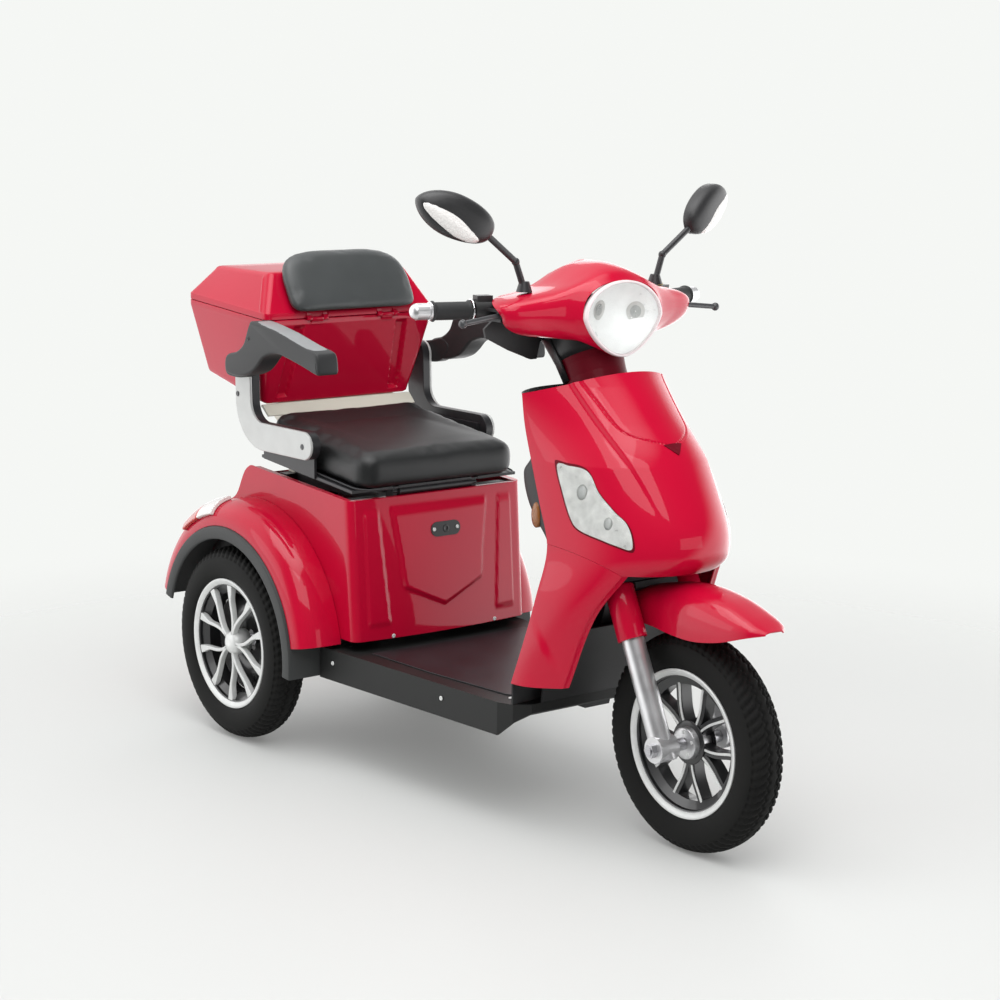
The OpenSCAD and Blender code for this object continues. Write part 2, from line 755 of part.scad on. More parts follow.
module trunk_lid() {
    w = trunk_wall;
    z = seam_front_z;
    color(red) skin([
        head_ring(14, 8, trunk_top_z - w), head_ring(w, trunk_corner - w, trunk_top_z - lid_edge - 2),
        seam_ring(w, lid_bead), seam_ring(w, gap), seam_ring(0, gap), seam_ring(0, lid_bead),
        head_ring(0, trunk_corner, trunk_top_z - lid_edge), head_ring(10, 8, trunk_top_z)
    ]);
    color(black) for (y = hinge_y) {
        axial(lid_hinge[0], z, y - hinge_half, y + hinge_half, lid_pin_r);
        for (e = [-hinge_half, knuckle_half + 1]) {
            long = hinge_half - knuckle_half - 1;
            axial(lid_hinge[0], z, y + e, y + e + long, knuckle_r);
            block([trunk_front_x - 1, y + e, z + 3], [trunk_front_x + leaf_t, y + e + long, z + base_bead]);
            block([trunk_front_x, y + e, z + 2.5], [lid_hinge[0] + 2, y + e + long, z + 7]);
        }
    }
}

// Leather pad on the sloping front of the trunk lid, outline drawn in towards its top
pad_low_z = 897;
pad_high_z = 1019;
pad_half = 157;
pad_draw = 14;

// Front face of the lid at a height z, with a hair's gap
function lid_face(z) =
    let (foot = seam_front_z + lid_bead, head = trunk_top_z - lid_edge)
    mix(trunk_front_x, trunk_high[1], (z - foot) / (head - foot)) + 0.3;

function pad_ring(grow, depth) = [
    for (i = [0 : 35])
        let (
            a = i * 10,
            square = sin(a) < 0 ? 0.32 : 0.6,
            c = sign(cos(a)) * abs(cos(a)) ^ square,
            s = sign(sin(a)) * abs(sin(a)) ^ square,
            z = (pad_low_z + pad_high_z) / 2 + s * ((pad_high_z - pad_low_z) / 2 + grow)
        )
        [lid_face(z) + depth, c * (pad_half - pad_draw * max(0, s) + grow), z]
];

module backrest_pad() {
    color(black) skin([
        pad_ring(-8, 0), pad_ring(0, 6), pad_ring(2, 18), pad_ring(0, 29), pad_ring(-8, 35),
        pad_ring(-28, 38), pad_ring(-48, 40)
    ]);
}

// Steering

module steering_stem() {
    half = fork_half + stanchion_r + 9;
    color("silver") {
        difference() {
            union() {
                on_fork() {
                    translate([0, 0, crown_s]) cylinder(r = steerer_r, h = bar_s - crown_s);
                    translate([0, 0, crown_s + crown_t - 1]) cylinder(r = 20, h = head_s0 - crown_s - crown_t);
                    translate([-22, -half, crown_s]) cube([44, 2 * half, crown_t]);
                }
                tube([bar_x, -bend_y, grip_z], [bar_x, bend_y, grip_z], bar_r);
                axial(bar_x, grip_z, -40, 40, steerer_r + 4);
                both_sides() {
                    translate([bar_x, bend_y, grip_z]) sphere(r = bar_r + 0.4);
                    on_grip() cylinder(r = bar_r, h = bar_run - 14);
                }
                tube([bar_x, 0, grip_z - 10], [lamp_x - 66.3, 0, lamp_z], 8);
            }
            on_fork() both_sides() translate([0, fork_half, crown_s - 1])
                cylinder(r = stanchion_r + run, h = crown_t + 2);
        }
    }
}

module fork_stanchions() {
    foot_s = 40 + fork_travel + 5;
    color("silver") on_fork() both_sides() translate([0, fork_half, foot_s])
        cylinder(r = stanchion_r, h = crown_s + crown_t - foot_s);
}

cover_r = slider_r + 6;
fender_top = [[930, 452], [981, 471], [1050, 489], [1124, 497], [1200, 487], [1260, 467], [1302, 447]];
fender_low = [[930, 398], [981, 412], [1040, 411], [1150, 408], [1220, 418], [1280, 436], [1302, 441]];
fender_half = [[930, 46], [981, 49], [1040, 49], [1080, 56], [1150, 62], [1220, 59], [1280, 44], [1302, 22]];

function fender_at(a, x) =
    let (low = curve(fender_low, x))
    [x + ahead, curve(fender_half, x) * sign(sin(a)) * abs(sin(a)) ^ 0.8,
     low + (curve(fender_top, x) - low) * pow(max(0, cos(a)), 0.6)];

module front_fender() {
    rows = 14;
    cols = 12;
    cover_foot = 203;
    color(red) {
        shell([
            for (i = [0 : rows])
                [for (j = [0 : cols]) fender_at(-90 + 180 * j / cols, mix(930, 1302, i / rows))]
        ], wall);
        on_fork() both_sides() translate([0, fork_half, cover_foot]) difference() {
            cylinder(r = cover_r, h = crown_s - cover_foot - 0.2);
            translate([0, 0, -1]) cylinder(r = slider_r + 2.5, h = crown_s - cover_foot - 3);
            cylinder(r = stanchion_r + 1, h = crown_s);
        }
        on_fork() translate([-14, -52.5, crown_s - 14]) cube([28, 105, 13.8]);
    }
}

// Headlight outline: a wide round top drawn in towards the foot
lamp_x = 886 + ahead;
lamp_z = 955;
lamp_up = 66;
lamp_down = 73;
function lamp_ring(k, x) = [
    for (i = [0 : 35])
        let (a = i * 10, s = sin(a))
        [x, k * lamp_w / 2 * cos(a) * (s < 0 ? 1 + 0.28 * s : 1),
         lamp_z + k * (s > 0 ? lamp_up : lamp_down) * s]
];

// Rings of the cowl from the headlight's rim to its rear edge: half width, middle height, rise of the
// wings, hump over the middle, drop, then how far the side, the top and the foot lie from the lamp
cowl_half = [[0, lamp_w / 2 + 1], [0.15, lamp_w / 2 + 20], [0.4, 160], [0.65, 205], [0.85, 221], [1, 222]];
cowl_mid = [[0, lamp_z], [0.15, 956], [0.4, 957.5], [0.65, 957], [0.85, 956], [1, 955]];
cowl_rise = [[0, lamp_up + 1], [0.15, 66], [0.4, 52], [0.65, 46], [0.85, 42], [1, 38]];
cowl_hump = [[0, 0], [0.15, 16], [0.4, 39.5], [0.65, 49], [0.85, 52], [1, 47]];
cowl_drop = [[0, lamp_down + 1], [0.15, 68], [0.4, 52.5], [0.65, 46], [0.85, 42], [1, 40]];
cowl_side_x = [[0, -2], [0.15, -15], [0.4, -35], [0.65, -51], [0.85, -64], [1, -74]];
cowl_top_x = [[0, 0], [0.15, -18], [0.4, -50], [0.65, -89], [0.85, -128], [1, -156]];
cowl_foot_x = [[0, -6], [0.15, -12], [0.4, -27], [0.65, -42], [0.85, -58], [1, -74]];

function cowl_at(a, v) =
    let (
        s = sin(a),
        narrow = s < 0 ? 1 + 0.28 * s * (1 - v) : 1 + 0.2 * s * v,
        y = curve(cowl_half, v) * sign(cos(a)) * pow(abs(cos(a)), 1 - v / 2) * narrow,
        rise = s > 0 ? curve(cowl_rise, v) * pow(s, 0.7) + curve(cowl_hump, v) * s * exp(-(y / 78) ^ 2)
                     : curve(cowl_drop, v) * s,
        x = mix(curve(cowl_side_x, v), curve(s > 0 ? cowl_top_x : cowl_foot_x, v), s ^ 2)
    )
    [lamp_x + x, y, curve(cowl_mid, v) + rise];

module handlebar_cowl() {
    rows = 9;
    color(red) shell([
        for (i = [0 : rows]) [for (j = [0 : 35]) cowl_at(j * 10, i / rows)]
    ], 2.5, true);
}

module neck_cover() {
    s0 = 652;
    s1 = 742;
    color(red) on_fork() {
        rotate_extrude() polygon([
            [55, s0], [58, s0], [58, 700], [60, 725], [63, s1], [60, s1], [57, 726], [55, 702]
        ]);
        translate([0, 0, 700]) difference() {
            cylinder(r = 56, h = 4);
            translate([0, 0, -1]) cylinder(r = steerer_r + run, h = 6);
        }
    }
}

module headlight_reflector() {
    depth = 50;
    rim = 54;
    color("gainsboro") {
        translate([lamp_x - 5, 0, lamp_z]) rotate([0, -90, 0]) rotate_extrude() polygon(concat(
            [for (i = [0 : 8]) let (r = mix(rim, 12, i / 8)) [r, depth * (1 - (r / rim) ^ 2)]],
            [for (i = [8 : -1 : 0]) let (r = mix(rim, 12, i / 8)) [r + 2.5, depth * (1 - (r / rim) ^ 2) + 2.5]]
        ));
        translate([lamp_x - 4 - 3, 0, lamp_z]) rotate([90, 0, 90]) linear_extrude(3) difference() {
            polygon([for (p = lamp_ring(0.925, 0)) [p[1], p[2] - lamp_z]]);
            circle(r = rim);
        }
        tube([lamp_x - 66, 0, lamp_z], [lamp_x - 50, 0, lamp_z], 13);
    }
}

module headlight_lens() {
    dome = 22;
    t = 3;
    rims = [0.12, 0.4, 0.65, 0.85, 0.993];
    color("white") skin(concat(
        [for (k = rims) lamp_ring(k, lamp_x + dome * (1 - k ^ 2))],
        [for (i = [len(rims) - 1 : -1 : 0]) let (k = rims[i] - (i == 4 ? 0.02 : 0))
            lamp_ring(k, lamp_x - t + dome * (1 - k ^ 2))]
    ));
}

// Lower edge and upper edge of the cover behind the bar, as [y, z]
rear_cover = [[0, 932], [76, 900], [84, 868], [98, 868], [150, 888], [204, 914], [208, 930], [190, 944],
              [0, 951]];

module dashboard() {
    color(black) {
        translate([lamp_x - 142, 0, 1008]) rotate([0, -35, 0]) {
            translate([-30, -50, -4]) cube([60, 100, 4]);
            translate([-22, -38, -0.1]) cube([42, 76, 5]);
            translate([-12, -22, -21.4]) cube([24, 44, 18]);
        }
        translate([lamp_x - 149, 0, 0]) rotate([90, 0, 90]) linear_extrude(5) polygon(concat(
            rear_cover, [for (i = [len(rear_cover) - 1 : -1 : 0]) [-rear_cover[i][0], rear_cover[i][1]]]
        ));
    }
}

bar_end_l = 41.3;
grip_s0 = 52;
grip_s1 = bar_run - bar_end_l;
grip_r = 16.5;

module grip_sleeve() {
    color(black) on_grip() translate([0, 0, grip_s0]) difference() {
        union() {
            cylinder(r = grip_r, h = grip_s1 - grip_s0);
            for (z = [0, grip_s1 - grip_s0 - 4]) translate([0, 0, z]) cylinder(r = grip_r + 2.5, h = 4);
        }
        translate([0, 0, -1]) cylinder(r = bar_r + run, h = grip_s1 - grip_s0 + 2);
    }
}

module grip_left() { grip_sleeve(); }
module throttle_grip() { mirror([0, 1, 0]) grip_sleeve(); }

module bar_ends() {
    s0 = grip_s1 + 1;
    r = 15;
    color("silver") both_sides() on_grip() difference() {
        union() {
            translate([0, 0, s0]) cylinder(r = r + 2, h = 4);
            translate([0, 0, s0]) cylinder(r = r, h = bar_run - s0 - r + 3);
            translate([0, 0, bar_run - r]) intersection() {
                sphere(r = r);
                cylinder(r = r, h = r);
            }
        }
        translate([0, 0, s0 - 1]) cylinder(r = bar_r + run, h = bar_run - 14 - s0 + 1.2);
    }
}

// Switch housing and lever perch by each grip
lever_x = bar_x + 42.3;
lever_y = 212;
lever_z = 960;
lever_hub_t = 12;
lever_pin_r = 4;

module switch_housing(button) {
    plate = 5;
    on_grip() difference() {
        union() {
            translate([0, 0, 8]) cylinder(r = 20, h = 38);
            translate([-12, -27, 12]) cube([24, 20, 30]);
        }
        translate([0, 0, 7]) cylinder(r = bar_r + run, h = 40);
        if (button) translate([0, -18, 27]) rotate([90, 0, 0]) cylinder(r = 6.3, h = 12);
    }
    for (z = [lever_z - lever_hub_t / 2 - plate - 0.3, lever_z + lever_hub_t / 2 + 0.3])
        difference() {
            block([bar_x + 6, lever_y - 11, z], [lever_x + 9, lever_y + 9, z + plate]);
            on_grip() translate([0, 0, -10]) cylinder(r = 19, h = 70);
        }
    translate([lever_x, lever_y, lever_z - lever_hub_t / 2 - 1]) cylinder(r = lever_pin_r, h = lever_hub_t + 2);
}

module switch_housings() {
    color(black) {
        switch_housing(true);
        mirror([0, 1, 0]) switch_housing(false);
    }
}

module horn_button() {
    color("gold") on_grip() translate([0, -21.4, 27]) rotate([90, 0, 0]) cylinder(r = 6, h = 9);
}

module brake_lever() {
    tip = [lever_x + 10, bar_half - 43, lever_z - 9];
    root = [lever_x + 1, lever_y + 5, lever_z];
    color(dark) difference() {
        union() {
            translate([lever_x, lever_y, lever_z - lever_hub_t / 2]) cylinder(r = 9, h = lever_hub_t);
            tube(root, tip, 5);
            translate(tip) sphere(r = 8);
        }
        translate([lever_x, lever_y, lever_z - 20]) cylinder(r = lever_pin_r + run, h = 40);
    }
}

module brake_lever_left() { brake_lever(); }
module brake_lever_right() { mirror([0, 1, 0]) brake_lever(); }

// Mirrors
mirror_foot = [lamp_x - 91, 159, 998.3];
mirror_elbow = [lamp_x - 93, 178, 1055];
mirror_ball = [lamp_x - 91, 248, 1107];
mirror_dir = unit([-52, 137, 64]);
mirror_up = unit([0, 0, 1] - mirror_dir[2] * mirror_dir);
mirror_face = cross(mirror_dir, mirror_up);

module mirror_stalks() {
    color(black) both_sides() {
        tube(mirror_foot + [0, 0, 6], mirror_elbow, 6);
        translate(mirror_elbow) sphere(r = 7.5);
        tube(mirror_elbow, mirror_ball, 6);
        translate(mirror_ball) sphere(r = 9);
        translate(mirror_foot + [0, 0, 2]) cylinder(r1 = 15, r2 = 9, h = 19);
    }
}

// Leaf outline of a mirror head: round by the ball and pointed at the tip
function leaf_ring(k, depth) = [
    for (i = [0 : 27])
        let (
            a = i * 360 / 28,
            l = 76 * cos(a),
            w = 39 * sign(sin(a)) * abs(sin(a)) ^ (cos(a) > 0 ? 1.25 : 0.8)
        )
        mirror_ball + mirror_dir * (66 + k * l) + mirror_up * (6 + k * w) + mirror_face * depth
];

module mirror_head() {
    seat_r = 9.3;
    back = 26;
    color(black) difference() {
        skin([
            leaf_ring(0.97, -11), leaf_ring(1, -8), leaf_ring(1, 6), leaf_ring(0.9, back * 0.62),
            leaf_ring(0.66, back * 0.9), leaf_ring(0.3, back)
        ]);
        translate(mirror_ball) sphere(r = seat_r);
        tube(mirror_ball, mirror_ball + (mirror_elbow - mirror_ball) * 0.5, 13);
    }
}

module mirror_head_left() { mirror_head(); }
module mirror_head_right() { mirror([0, 1, 0]) mirror_head(); }

// Front wheel and lower fork

module fork_sliders() {
    top_s = crown_s - fork_travel - 5;
    color("silver") on_fork() both_sides() difference() {
        union() {
            translate([0, fork_half, -24]) cylinder(r = slider_r, h = top_s + 24);
            translate([0, fork_half + slider_r, 0]) rotate([90, 0, 0]) cylinder(r = 24, h = 2 * slider_r);
        }
        translate([0, fork_half, 40]) cylinder(r = stanchion_r + run, h = top_s);
        translate([0, fork_half + slider_r + 1, 0]) rotate([90, 0, 0])
            cylinder(r = axle_r + run, h = 2 * slider_r + 2);
    }
}

module front_axle() {
    end = fork_half + slider_r;
    color("silver") {
        axial(wheelbase, tyre_r, -end - 14, end + 14, axle_r);
        both_sides() {
            axial(wheelbase, tyre_r, hub_half + 0.5, fork_half - slider_r - 0.2, axle_r + 4);
            translate([wheelbase, end + 11, tyre_r]) rotate([90, 0, 0]) cylinder(r = 13, h = 10.8, $fn = 6);
        }
    }
}

// Half section of a tyre as [radius, distance from its middle]
bead_r = lip_r - 11.5;
wide_r = bead_r + (tyre_r - bead_r) * 0.5;
function tyre_side() = concat(
    [[bead_r, 30], [lip_r - 1, 30]],
    [for (i = [1 : 4]) let (a = -60 + 15 * i)
        [wide_r + (wide_r - lip_r) * sin(a), mix(30, tyre_w / 2, cos(a) ^ 1.2)]],
    [for (i = [1 : 7]) let (a = 90 * i / 7)
        [wide_r + (tyre_r - wide_r) * sin(a) ^ 0.95, tyre_w / 2 * max(0, cos(a)) ^ 0.7]]
);

module tyre_section() {
    side = tyre_side();
    n = len(side);
    difference() {
        polygon(concat(side, [for (i = [n - 2 : -1 : 0]) [side[i][0], -side[i][1]]]));
        translate([bead_r + 22, 0]) square([30, tyre_w - 30], center = true);
        translate([wide_r + 4, 0]) square([34, tyre_w - 14], center = true);
        translate([bead_r, 0]) square([30, tyre_w - 34], center = true);
        for (y = [-11, 11]) translate([tyre_r, y]) square([8, 4], center = true);
    }
}

// Curved spoke from the hub to the rim, leaning to one side
module spoke(lean) {
    hub = 24;
    rim = lip_r - 29;
    steps = 6;
    line = [for (i = [0 : steps]) let (t = i / steps, r = mix(hub, rim, t), a = lean * (3 + 13 * sin(150 * t)))
        [r * cos(a), r * sin(a), mix(8, 5.5, t)]];
    polygon(concat(
        [for (p = line) [p[0], p[1] - p[2]]],
        [for (i = [steps : -1 : 0]) [line[i][0], line[i][1] + line[i][2]]]
    ));
}

module rim_section() {
    polygon([
        [lip_r, -34], [lip_r, -31], [lip_r - 12, -30.4], [lip_r - 12, -20], [lip_r - 28, -12],
        [lip_r - 28, 12], [lip_r - 12, 20], [lip_r - 12, 30.4], [lip_r, 31], [lip_r, 34],
        [lip_r - 4, 34], [lip_r - 16, 29], [lip_r - 16, 22], [lip_r - 32, 14],
        [lip_r - 32, -14], [lip_r - 16, -22], [lip_r - 16, -29], [lip_r - 4, -34]
    ]);
}

// Rim with spokes between two axial places, about an axle along Y with the axial direction to -Y
module rim(x, y, spoke_y, spoke_t) {
    translate([x, y, tyre_r]) rotate([90, 0, 0]) {
        rotate_extrude() rim_section();
        translate([0, 0, spoke_y]) for (i = [0 : spoke_pairs - 1], lean = [-1, 1])
            rotate([0, 0, 90 + 360 * i / spoke_pairs]) linear_extrude(spoke_t) spoke(lean);
    }
}

module front_tyre() { color(black) turned(wheelbase, tyre_r) tyre_section(); }

module front_rim() {
    color("silver") difference() {
        union() {
            rim(wheelbase, 0, -13, 26);
            axial(wheelbase, tyre_r, -hub_half, hub_half, 30);
        }
        axial(wheelbase, tyre_r, -hub_half - 1, hub_half + 1, axle_r + run);
    }
}

// Rear wheels and axle

shaft_r = 12.5;
axle_tube_r = 24;
axle_end = wheel_y - 63;
drum_in = wheel_y - 49;

module rear_tyre() { color(black) translate([0, -wheel_y, 0]) turned(0, tyre_r) tyre_section(); }

module rear_rim() {
    hub_out = wheel_y + 30;
    color("silver") {
        rim(0, -wheel_y, 16, 16);
        axial(0, tyre_r, -hub_out, -drum_in - 20, 30);
        axial(0, tyre_r, -drum_in - 22, -drum_in, 66);
        axial(0, tyre_r, -drum_in - 5, -90, shaft_r);
    }
}

module rear_tyre_right() { rear_tyre(); }
module rear_tyre_left() { mirror([0, 1, 0]) rear_tyre(); }
module rear_rim_right() { rear_rim(); }
module rear_rim_left() { mirror([0, 1, 0]) rear_rim(); }

clamp_half = 14;
arm_half = 11;
module swing_arms() {
    color(black) both_sides() difference() {
        union() {
            axial(pivot_x, pivot_z, arm_y - arm_w / 2, arm_y + arm_w / 2, pin_r + 8);
            translate([0, arm_y + arm_half, 0]) rotate([90, 0, 0]) linear_extrude(2 * arm_half) polygon([
                [pivot_x, pivot_z - 12], [pivot_x, pivot_z + 12], [0, tyre_r + 18], [0, tyre_r - 18]
            ]);
            axial(0, tyre_r, arm_y - clamp_half, arm_y + clamp_half, axle_tube_r + 10);
        }
        axial(pivot_x, pivot_z, 0, 300, pin_r + run);
        axial(0, tyre_r, 0, 300, axle_tube_r + run);
    }
}

module motor_axle() {
    color("gray") difference() {
        union() {
            axial(0, tyre_r, -62, 62, 70);
            axial(0, tyre_r, -axle_end, axle_end, axle_tube_r);
            axial(-92, tyre_r + 24, -76, 76, 50);
            block([-92, -50, tyre_r - 20], [-20, 50, tyre_r + 50]);
            both_sides() {
                shock_lugs(shock_low_z, tyre_r - 10, shock_low_z + 15);
                for (y = [shock_y - eye_half - 3 - lug_t, shock_y + eye_half + 3])
                    block([shock_x + 10, y, tyre_r - 14], [-4, y + lug_t, tyre_r + 20]);
                axial(0, tyre_r, axle_end - 1, axle_end + 4, 70);
            }
        }
        axial(0, tyre_r, -300, 300, shaft_r + run);
    }
}

spring_low_z = 268;
spring_high_z = 440;
spring_r = 25;
wire_r = 3.4;
rod_r = 8;

module shock_bodies() {
    foot_z = 350;
    color("silver") both_sides() difference() {
        union() {
            axial(shock_x, shock_top_z, shock_y - eye_half, shock_y + eye_half, eye_r);
            translate([shock_x, shock_y, foot_z]) cylinder(r = 18, h = shock_top_z - foot_z - 12);
            translate([shock_x, shock_y, spring_high_z + 0.3]) cylinder(r = 30, h = 6);
        }
        axial(shock_x, shock_top_z, 0, 300, shock_pin_r + run);
        translate([shock_x, shock_y, foot_z - 1]) cylinder(r = rod_r + run, h = spring_high_z - foot_z);
    }
}

module shock_rods() {
    slack = 1.3;
    color("silver") both_sides() difference() {
        union() {
            axial(shock_x, shock_low_z, shock_y - eye_half, shock_y + eye_half, eye_r);
            translate([shock_x, shock_y, shock_low_z + 10]) cylinder(r = rod_r, h = 165);
            translate([shock_x, shock_y, spring_low_z - 6.3]) cylinder(r = 30, h = 6);
        }
        axial(shock_x, shock_low_z, 0, 300, shock_pin_r + slack);
    }
}

// Coil spring swept along a helix
coil_rings = 10;
coil_sides = 6;
function coil_at(t) =
    let (a = 360 * spring_turns * t)
    [shock_x + spring_r * cos(a), shock_y + spring_r * sin(a),
     mix(spring_low_z + wire_r, spring_high_z - wire_r, t)];

coil_gap = (spring_high_z - spring_low_z - 2 * wire_r) / spring_turns - 2 * wire_r;
echo(least_gap_between_coils = coil_gap);

module shock_springs() {
    n = spring_turns * coil_rings;
    color("gold") both_sides() skin([
        for (i = [0 : n])
            let (
                a = 360 * i / coil_rings,
                out = [cos(a), sin(a), 0],
                p = coil_at(i / n)
            )
            [for (k = [0 : coil_sides - 1]) let (b = 360 * k / coil_sides)
                p + wire_r * (out * cos(b) + [0, 0, sin(b)])]
    ]);
}

// Seat

seat_back_x = -24;
seat_front_x = seat_back_x + seat_depth;

// The seat lies along the sloping top of its box, leaning back about its hinge
seat_lean = 5;
module leaning() {
    translate([hinge_x, 0, hinge_z]) rotate([0, seat_lean, 0]) translate([-hinge_x, 0, -hinge_z]) children();
}

function seat_ring(grow, z) = [
    for (p = round_box(seat_back_x - grow, seat_front_x + grow, seat_half + grow - 4, seat_half + grow,
                       max(6, 40 + grow), 9)) [p[0], p[1], z]
];

module seat_cushion() {
    crown = 9;
    color(black) leaning() skin([
        seat_ring(-12, seat_z), seat_ring(-2, seat_z + 5), seat_ring(1.5, seat_z + seat_t * 0.45),
        seat_ring(0, seat_z + seat_t - 12), seat_ring(-6, seat_z + seat_t - 3),
        seat_ring(-16, seat_z + seat_t + 1), seat_ring(-34, seat_z + seat_t + crown * 0.6),
        seat_ring(-90, seat_z + seat_t + crown)
    ]);
}

bolt_x = [92, 172];
bolt_z = 641;
bracket_t = 12;

module seat_pan() {
    pan_z = seat_z - 13;
    pan_t = 6;
    side_in = seat_half + 4;
    side_x = [0, 190];
    color(black) {
        leaning() difference() {
            union() {
                block([seat_back_x + 8, -side_in - 2, pan_z], [hinge_x + 5, side_in + 2, pan_z + pan_t]);
                block([seat_back_x + 30, -150, pan_z + pan_t - 1], [hinge_x - 20, 150, seat_z - 0.2]);
                axial(hinge_x, hinge_z, -92, 92, hinge_pin_r + 4);
            }
            axial(hinge_x, hinge_z, -93, 93, hinge_pin_r + run);
            both_sides() block([hinge_x - 30, 92.5, 0], [hinge_x + 20, 109, pan_z + pan_t + 1]);
        }
        both_sides() {
            translate([0, side_in + 6, 0]) rotate([90, 0, 0]) linear_extrude(6) polygon([
                for (x = side_x) [x, pan_z + 1 + (hinge_x - x) * tan(seat_lean)],
                [side_x[1], bolt_z + 13], [side_x[0], bolt_z + 13]
            ]);
            for (x = bolt_x) axial(x, bolt_z, side_in + 5, bracket_in - 0.1, 9);
        }
    }
}

// Side view of an arm bracket: a foot along the seat and a leg up to the armrest's hinge
arm_hinge = [-44, 780];
arm_pin_r = 6;
bracket_w = 58;
bracket_bend = 72;
foot_end = [185, 643];
bracket_corner = [-40, 641];

function heading(v) = atan2(v[1], v[0]);
function arc(c, r, a0, a1, n) = [for (i = [0 : n]) let (a = mix(a0, a1, i / n)) c + r * [cos(a), sin(a)]];

function bracket_outline() =
    let (
        foot = heading(foot_end - bracket_corner),
        leg = heading(arm_hinge - bracket_corner),
        reach = bracket_bend / tan((leg - foot) / 2),
        c = bracket_corner + reach * [cos(foot), sin(foot)] + bracket_bend * [-sin(foot), cos(foot)],
        w = bracket_w / 2
    )
    concat(
        arc(foot_end, w, foot - 90, foot + 90, 12), arc(c, bracket_bend - w, foot - 90, leg - 270, 10),
        arc(arm_hinge, w, leg - 90, leg + 90, 12), arc(c, bracket_bend + w, leg - 270, foot - 90, 12)
    );

module arm_brackets() {
    color("silver") both_sides() {
        translate([0, bracket_in + bracket_t, 0]) rotate([90, 0, 0]) linear_extrude(bracket_t)
            polygon(bracket_outline());
        axial(arm_hinge[0], arm_hinge[1], bracket_in + bracket_t - 1, bracket_in + bracket_t + 22, arm_pin_r);
    }
}

// Armrest: a long arched pad outside the bracket and a hinge block behind it
rest_w = 50;
module armrest() {
    face = bracket_in + bracket_t;
    color(dark) difference() {
        union() {
            translate([0, face + 2 + rest_w, 0]) rotate([90, 0, 0]) linear_extrude(rest_w) polygon([
                [-29, 785], [-28, 805], [-19, 814], [15, 822], [43, 840], [53, 858], [66, 884], [74, 890],
                [181, 873], [255, 856], [305, 847], [313, 840], [319, 808], [313, 803], [255, 817], [180, 830],
                [149, 830], [117, 818], [94, 798], [70, 783], [28, 771], [-19, 773]
            ]);
            translate([0, face + 28, 0]) rotate([90, 0, 0]) linear_extrude(27.4) polygon([
                [-66, 772], [-67, 790], [-56, 804], [-20, 811], [20, 820], [50, 800], [8, 766], [-50, 762]
            ]);
        }
        axial(arm_hinge[0], arm_hinge[1], 0, face + 24, arm_pin_r + run);
    }
}

module armrest_left() { armrest(); }
module armrest_right() { mirror([0, 1, 0]) armrest(); }

// Ignition key on the inside of the leg shield
key_y = -50;
key_z = 655;
module ignition_key() {
    face = inner_at(key_y / shield_half, key_z)[0];
    color("silver") {
        translate([face - 8, key_y, key_z]) rotate([0, 90, 0]) cylinder(r = 9, h = 7.9);
        block([face - 32, key_y - 9, key_z - 1.2], [face - 7, key_y + 9, key_z + 1.2]);
    }
}

origin() main_frame();
origin() seat_frame();
origin() trunk_rack();
origin() footboard();
origin() floor_mat();
origin() front_shield();
origin() leg_panels();
origin() inner_leg_shield();
origin() wheel_well_liner();
origin() front_signal_lenses();
origin() seat_box();
origin() rear_fender_right();
origin() rear_fender_left();
origin() wheel_arch_trims();
origin() rear_lamps();
origin() tail_panel();
origin() battery_pack();
origin() controller();
origin() charge_socket();
origin() head_bearings();
origin() trunk_base();
origin() steering_stem();
origin() fork_stanchions();
origin() front_fender();
origin() handlebar_cowl();
origin() neck_cover();
origin() headlight_reflector();
origin() headlight_lens();
origin() dashboard();
origin() grip_left();
origin() bar_ends();
origin() switch_housings();
origin() mirror_stalks();
origin() fork_sliders();
origin() front_axle();
origin() front_tyre();
origin() front_rim();
origin() swing_arms();
origin() motor_axle();
origin() shock_bodies();
origin() shock_rods();
origin() shock_springs();
origin() rear_tyre_right();
origin() rear_rim_right();
origin() rear_tyre_left();
origin() rear_rim_left();
origin() throttle_grip();
origin() brake_lever_right();
origin() brake_lever_left();
origin() mirror_head_right();
origin() mirror_head_left();
origin() seat_cushion();
origin() seat_pan();
origin() arm_brackets();
origin() armrest_right();
origin() armrest_left();
origin() trunk_lid();
origin() backrest_pad();
origin() ignition_key();
origin() horn_button();
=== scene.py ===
import json
import math

import bmesh
import bpy
from mathutils import Matrix, Vector

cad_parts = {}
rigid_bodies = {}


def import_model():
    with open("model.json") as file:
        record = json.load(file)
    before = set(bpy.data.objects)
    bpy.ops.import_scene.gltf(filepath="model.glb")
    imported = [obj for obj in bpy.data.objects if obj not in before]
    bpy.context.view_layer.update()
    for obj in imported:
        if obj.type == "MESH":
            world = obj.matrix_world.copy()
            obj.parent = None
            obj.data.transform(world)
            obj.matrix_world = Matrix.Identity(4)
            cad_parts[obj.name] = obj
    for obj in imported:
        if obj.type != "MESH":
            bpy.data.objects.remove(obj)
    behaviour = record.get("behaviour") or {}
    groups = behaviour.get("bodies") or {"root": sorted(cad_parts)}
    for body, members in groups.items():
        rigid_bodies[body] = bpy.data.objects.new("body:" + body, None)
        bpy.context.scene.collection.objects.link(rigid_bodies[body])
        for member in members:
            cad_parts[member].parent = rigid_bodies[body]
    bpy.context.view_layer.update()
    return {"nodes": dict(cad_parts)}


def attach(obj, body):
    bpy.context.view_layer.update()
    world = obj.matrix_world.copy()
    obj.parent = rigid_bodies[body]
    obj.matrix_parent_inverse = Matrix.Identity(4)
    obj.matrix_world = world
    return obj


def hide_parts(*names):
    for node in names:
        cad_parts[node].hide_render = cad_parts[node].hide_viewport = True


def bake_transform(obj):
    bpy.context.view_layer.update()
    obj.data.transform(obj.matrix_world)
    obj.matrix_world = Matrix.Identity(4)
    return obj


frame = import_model()

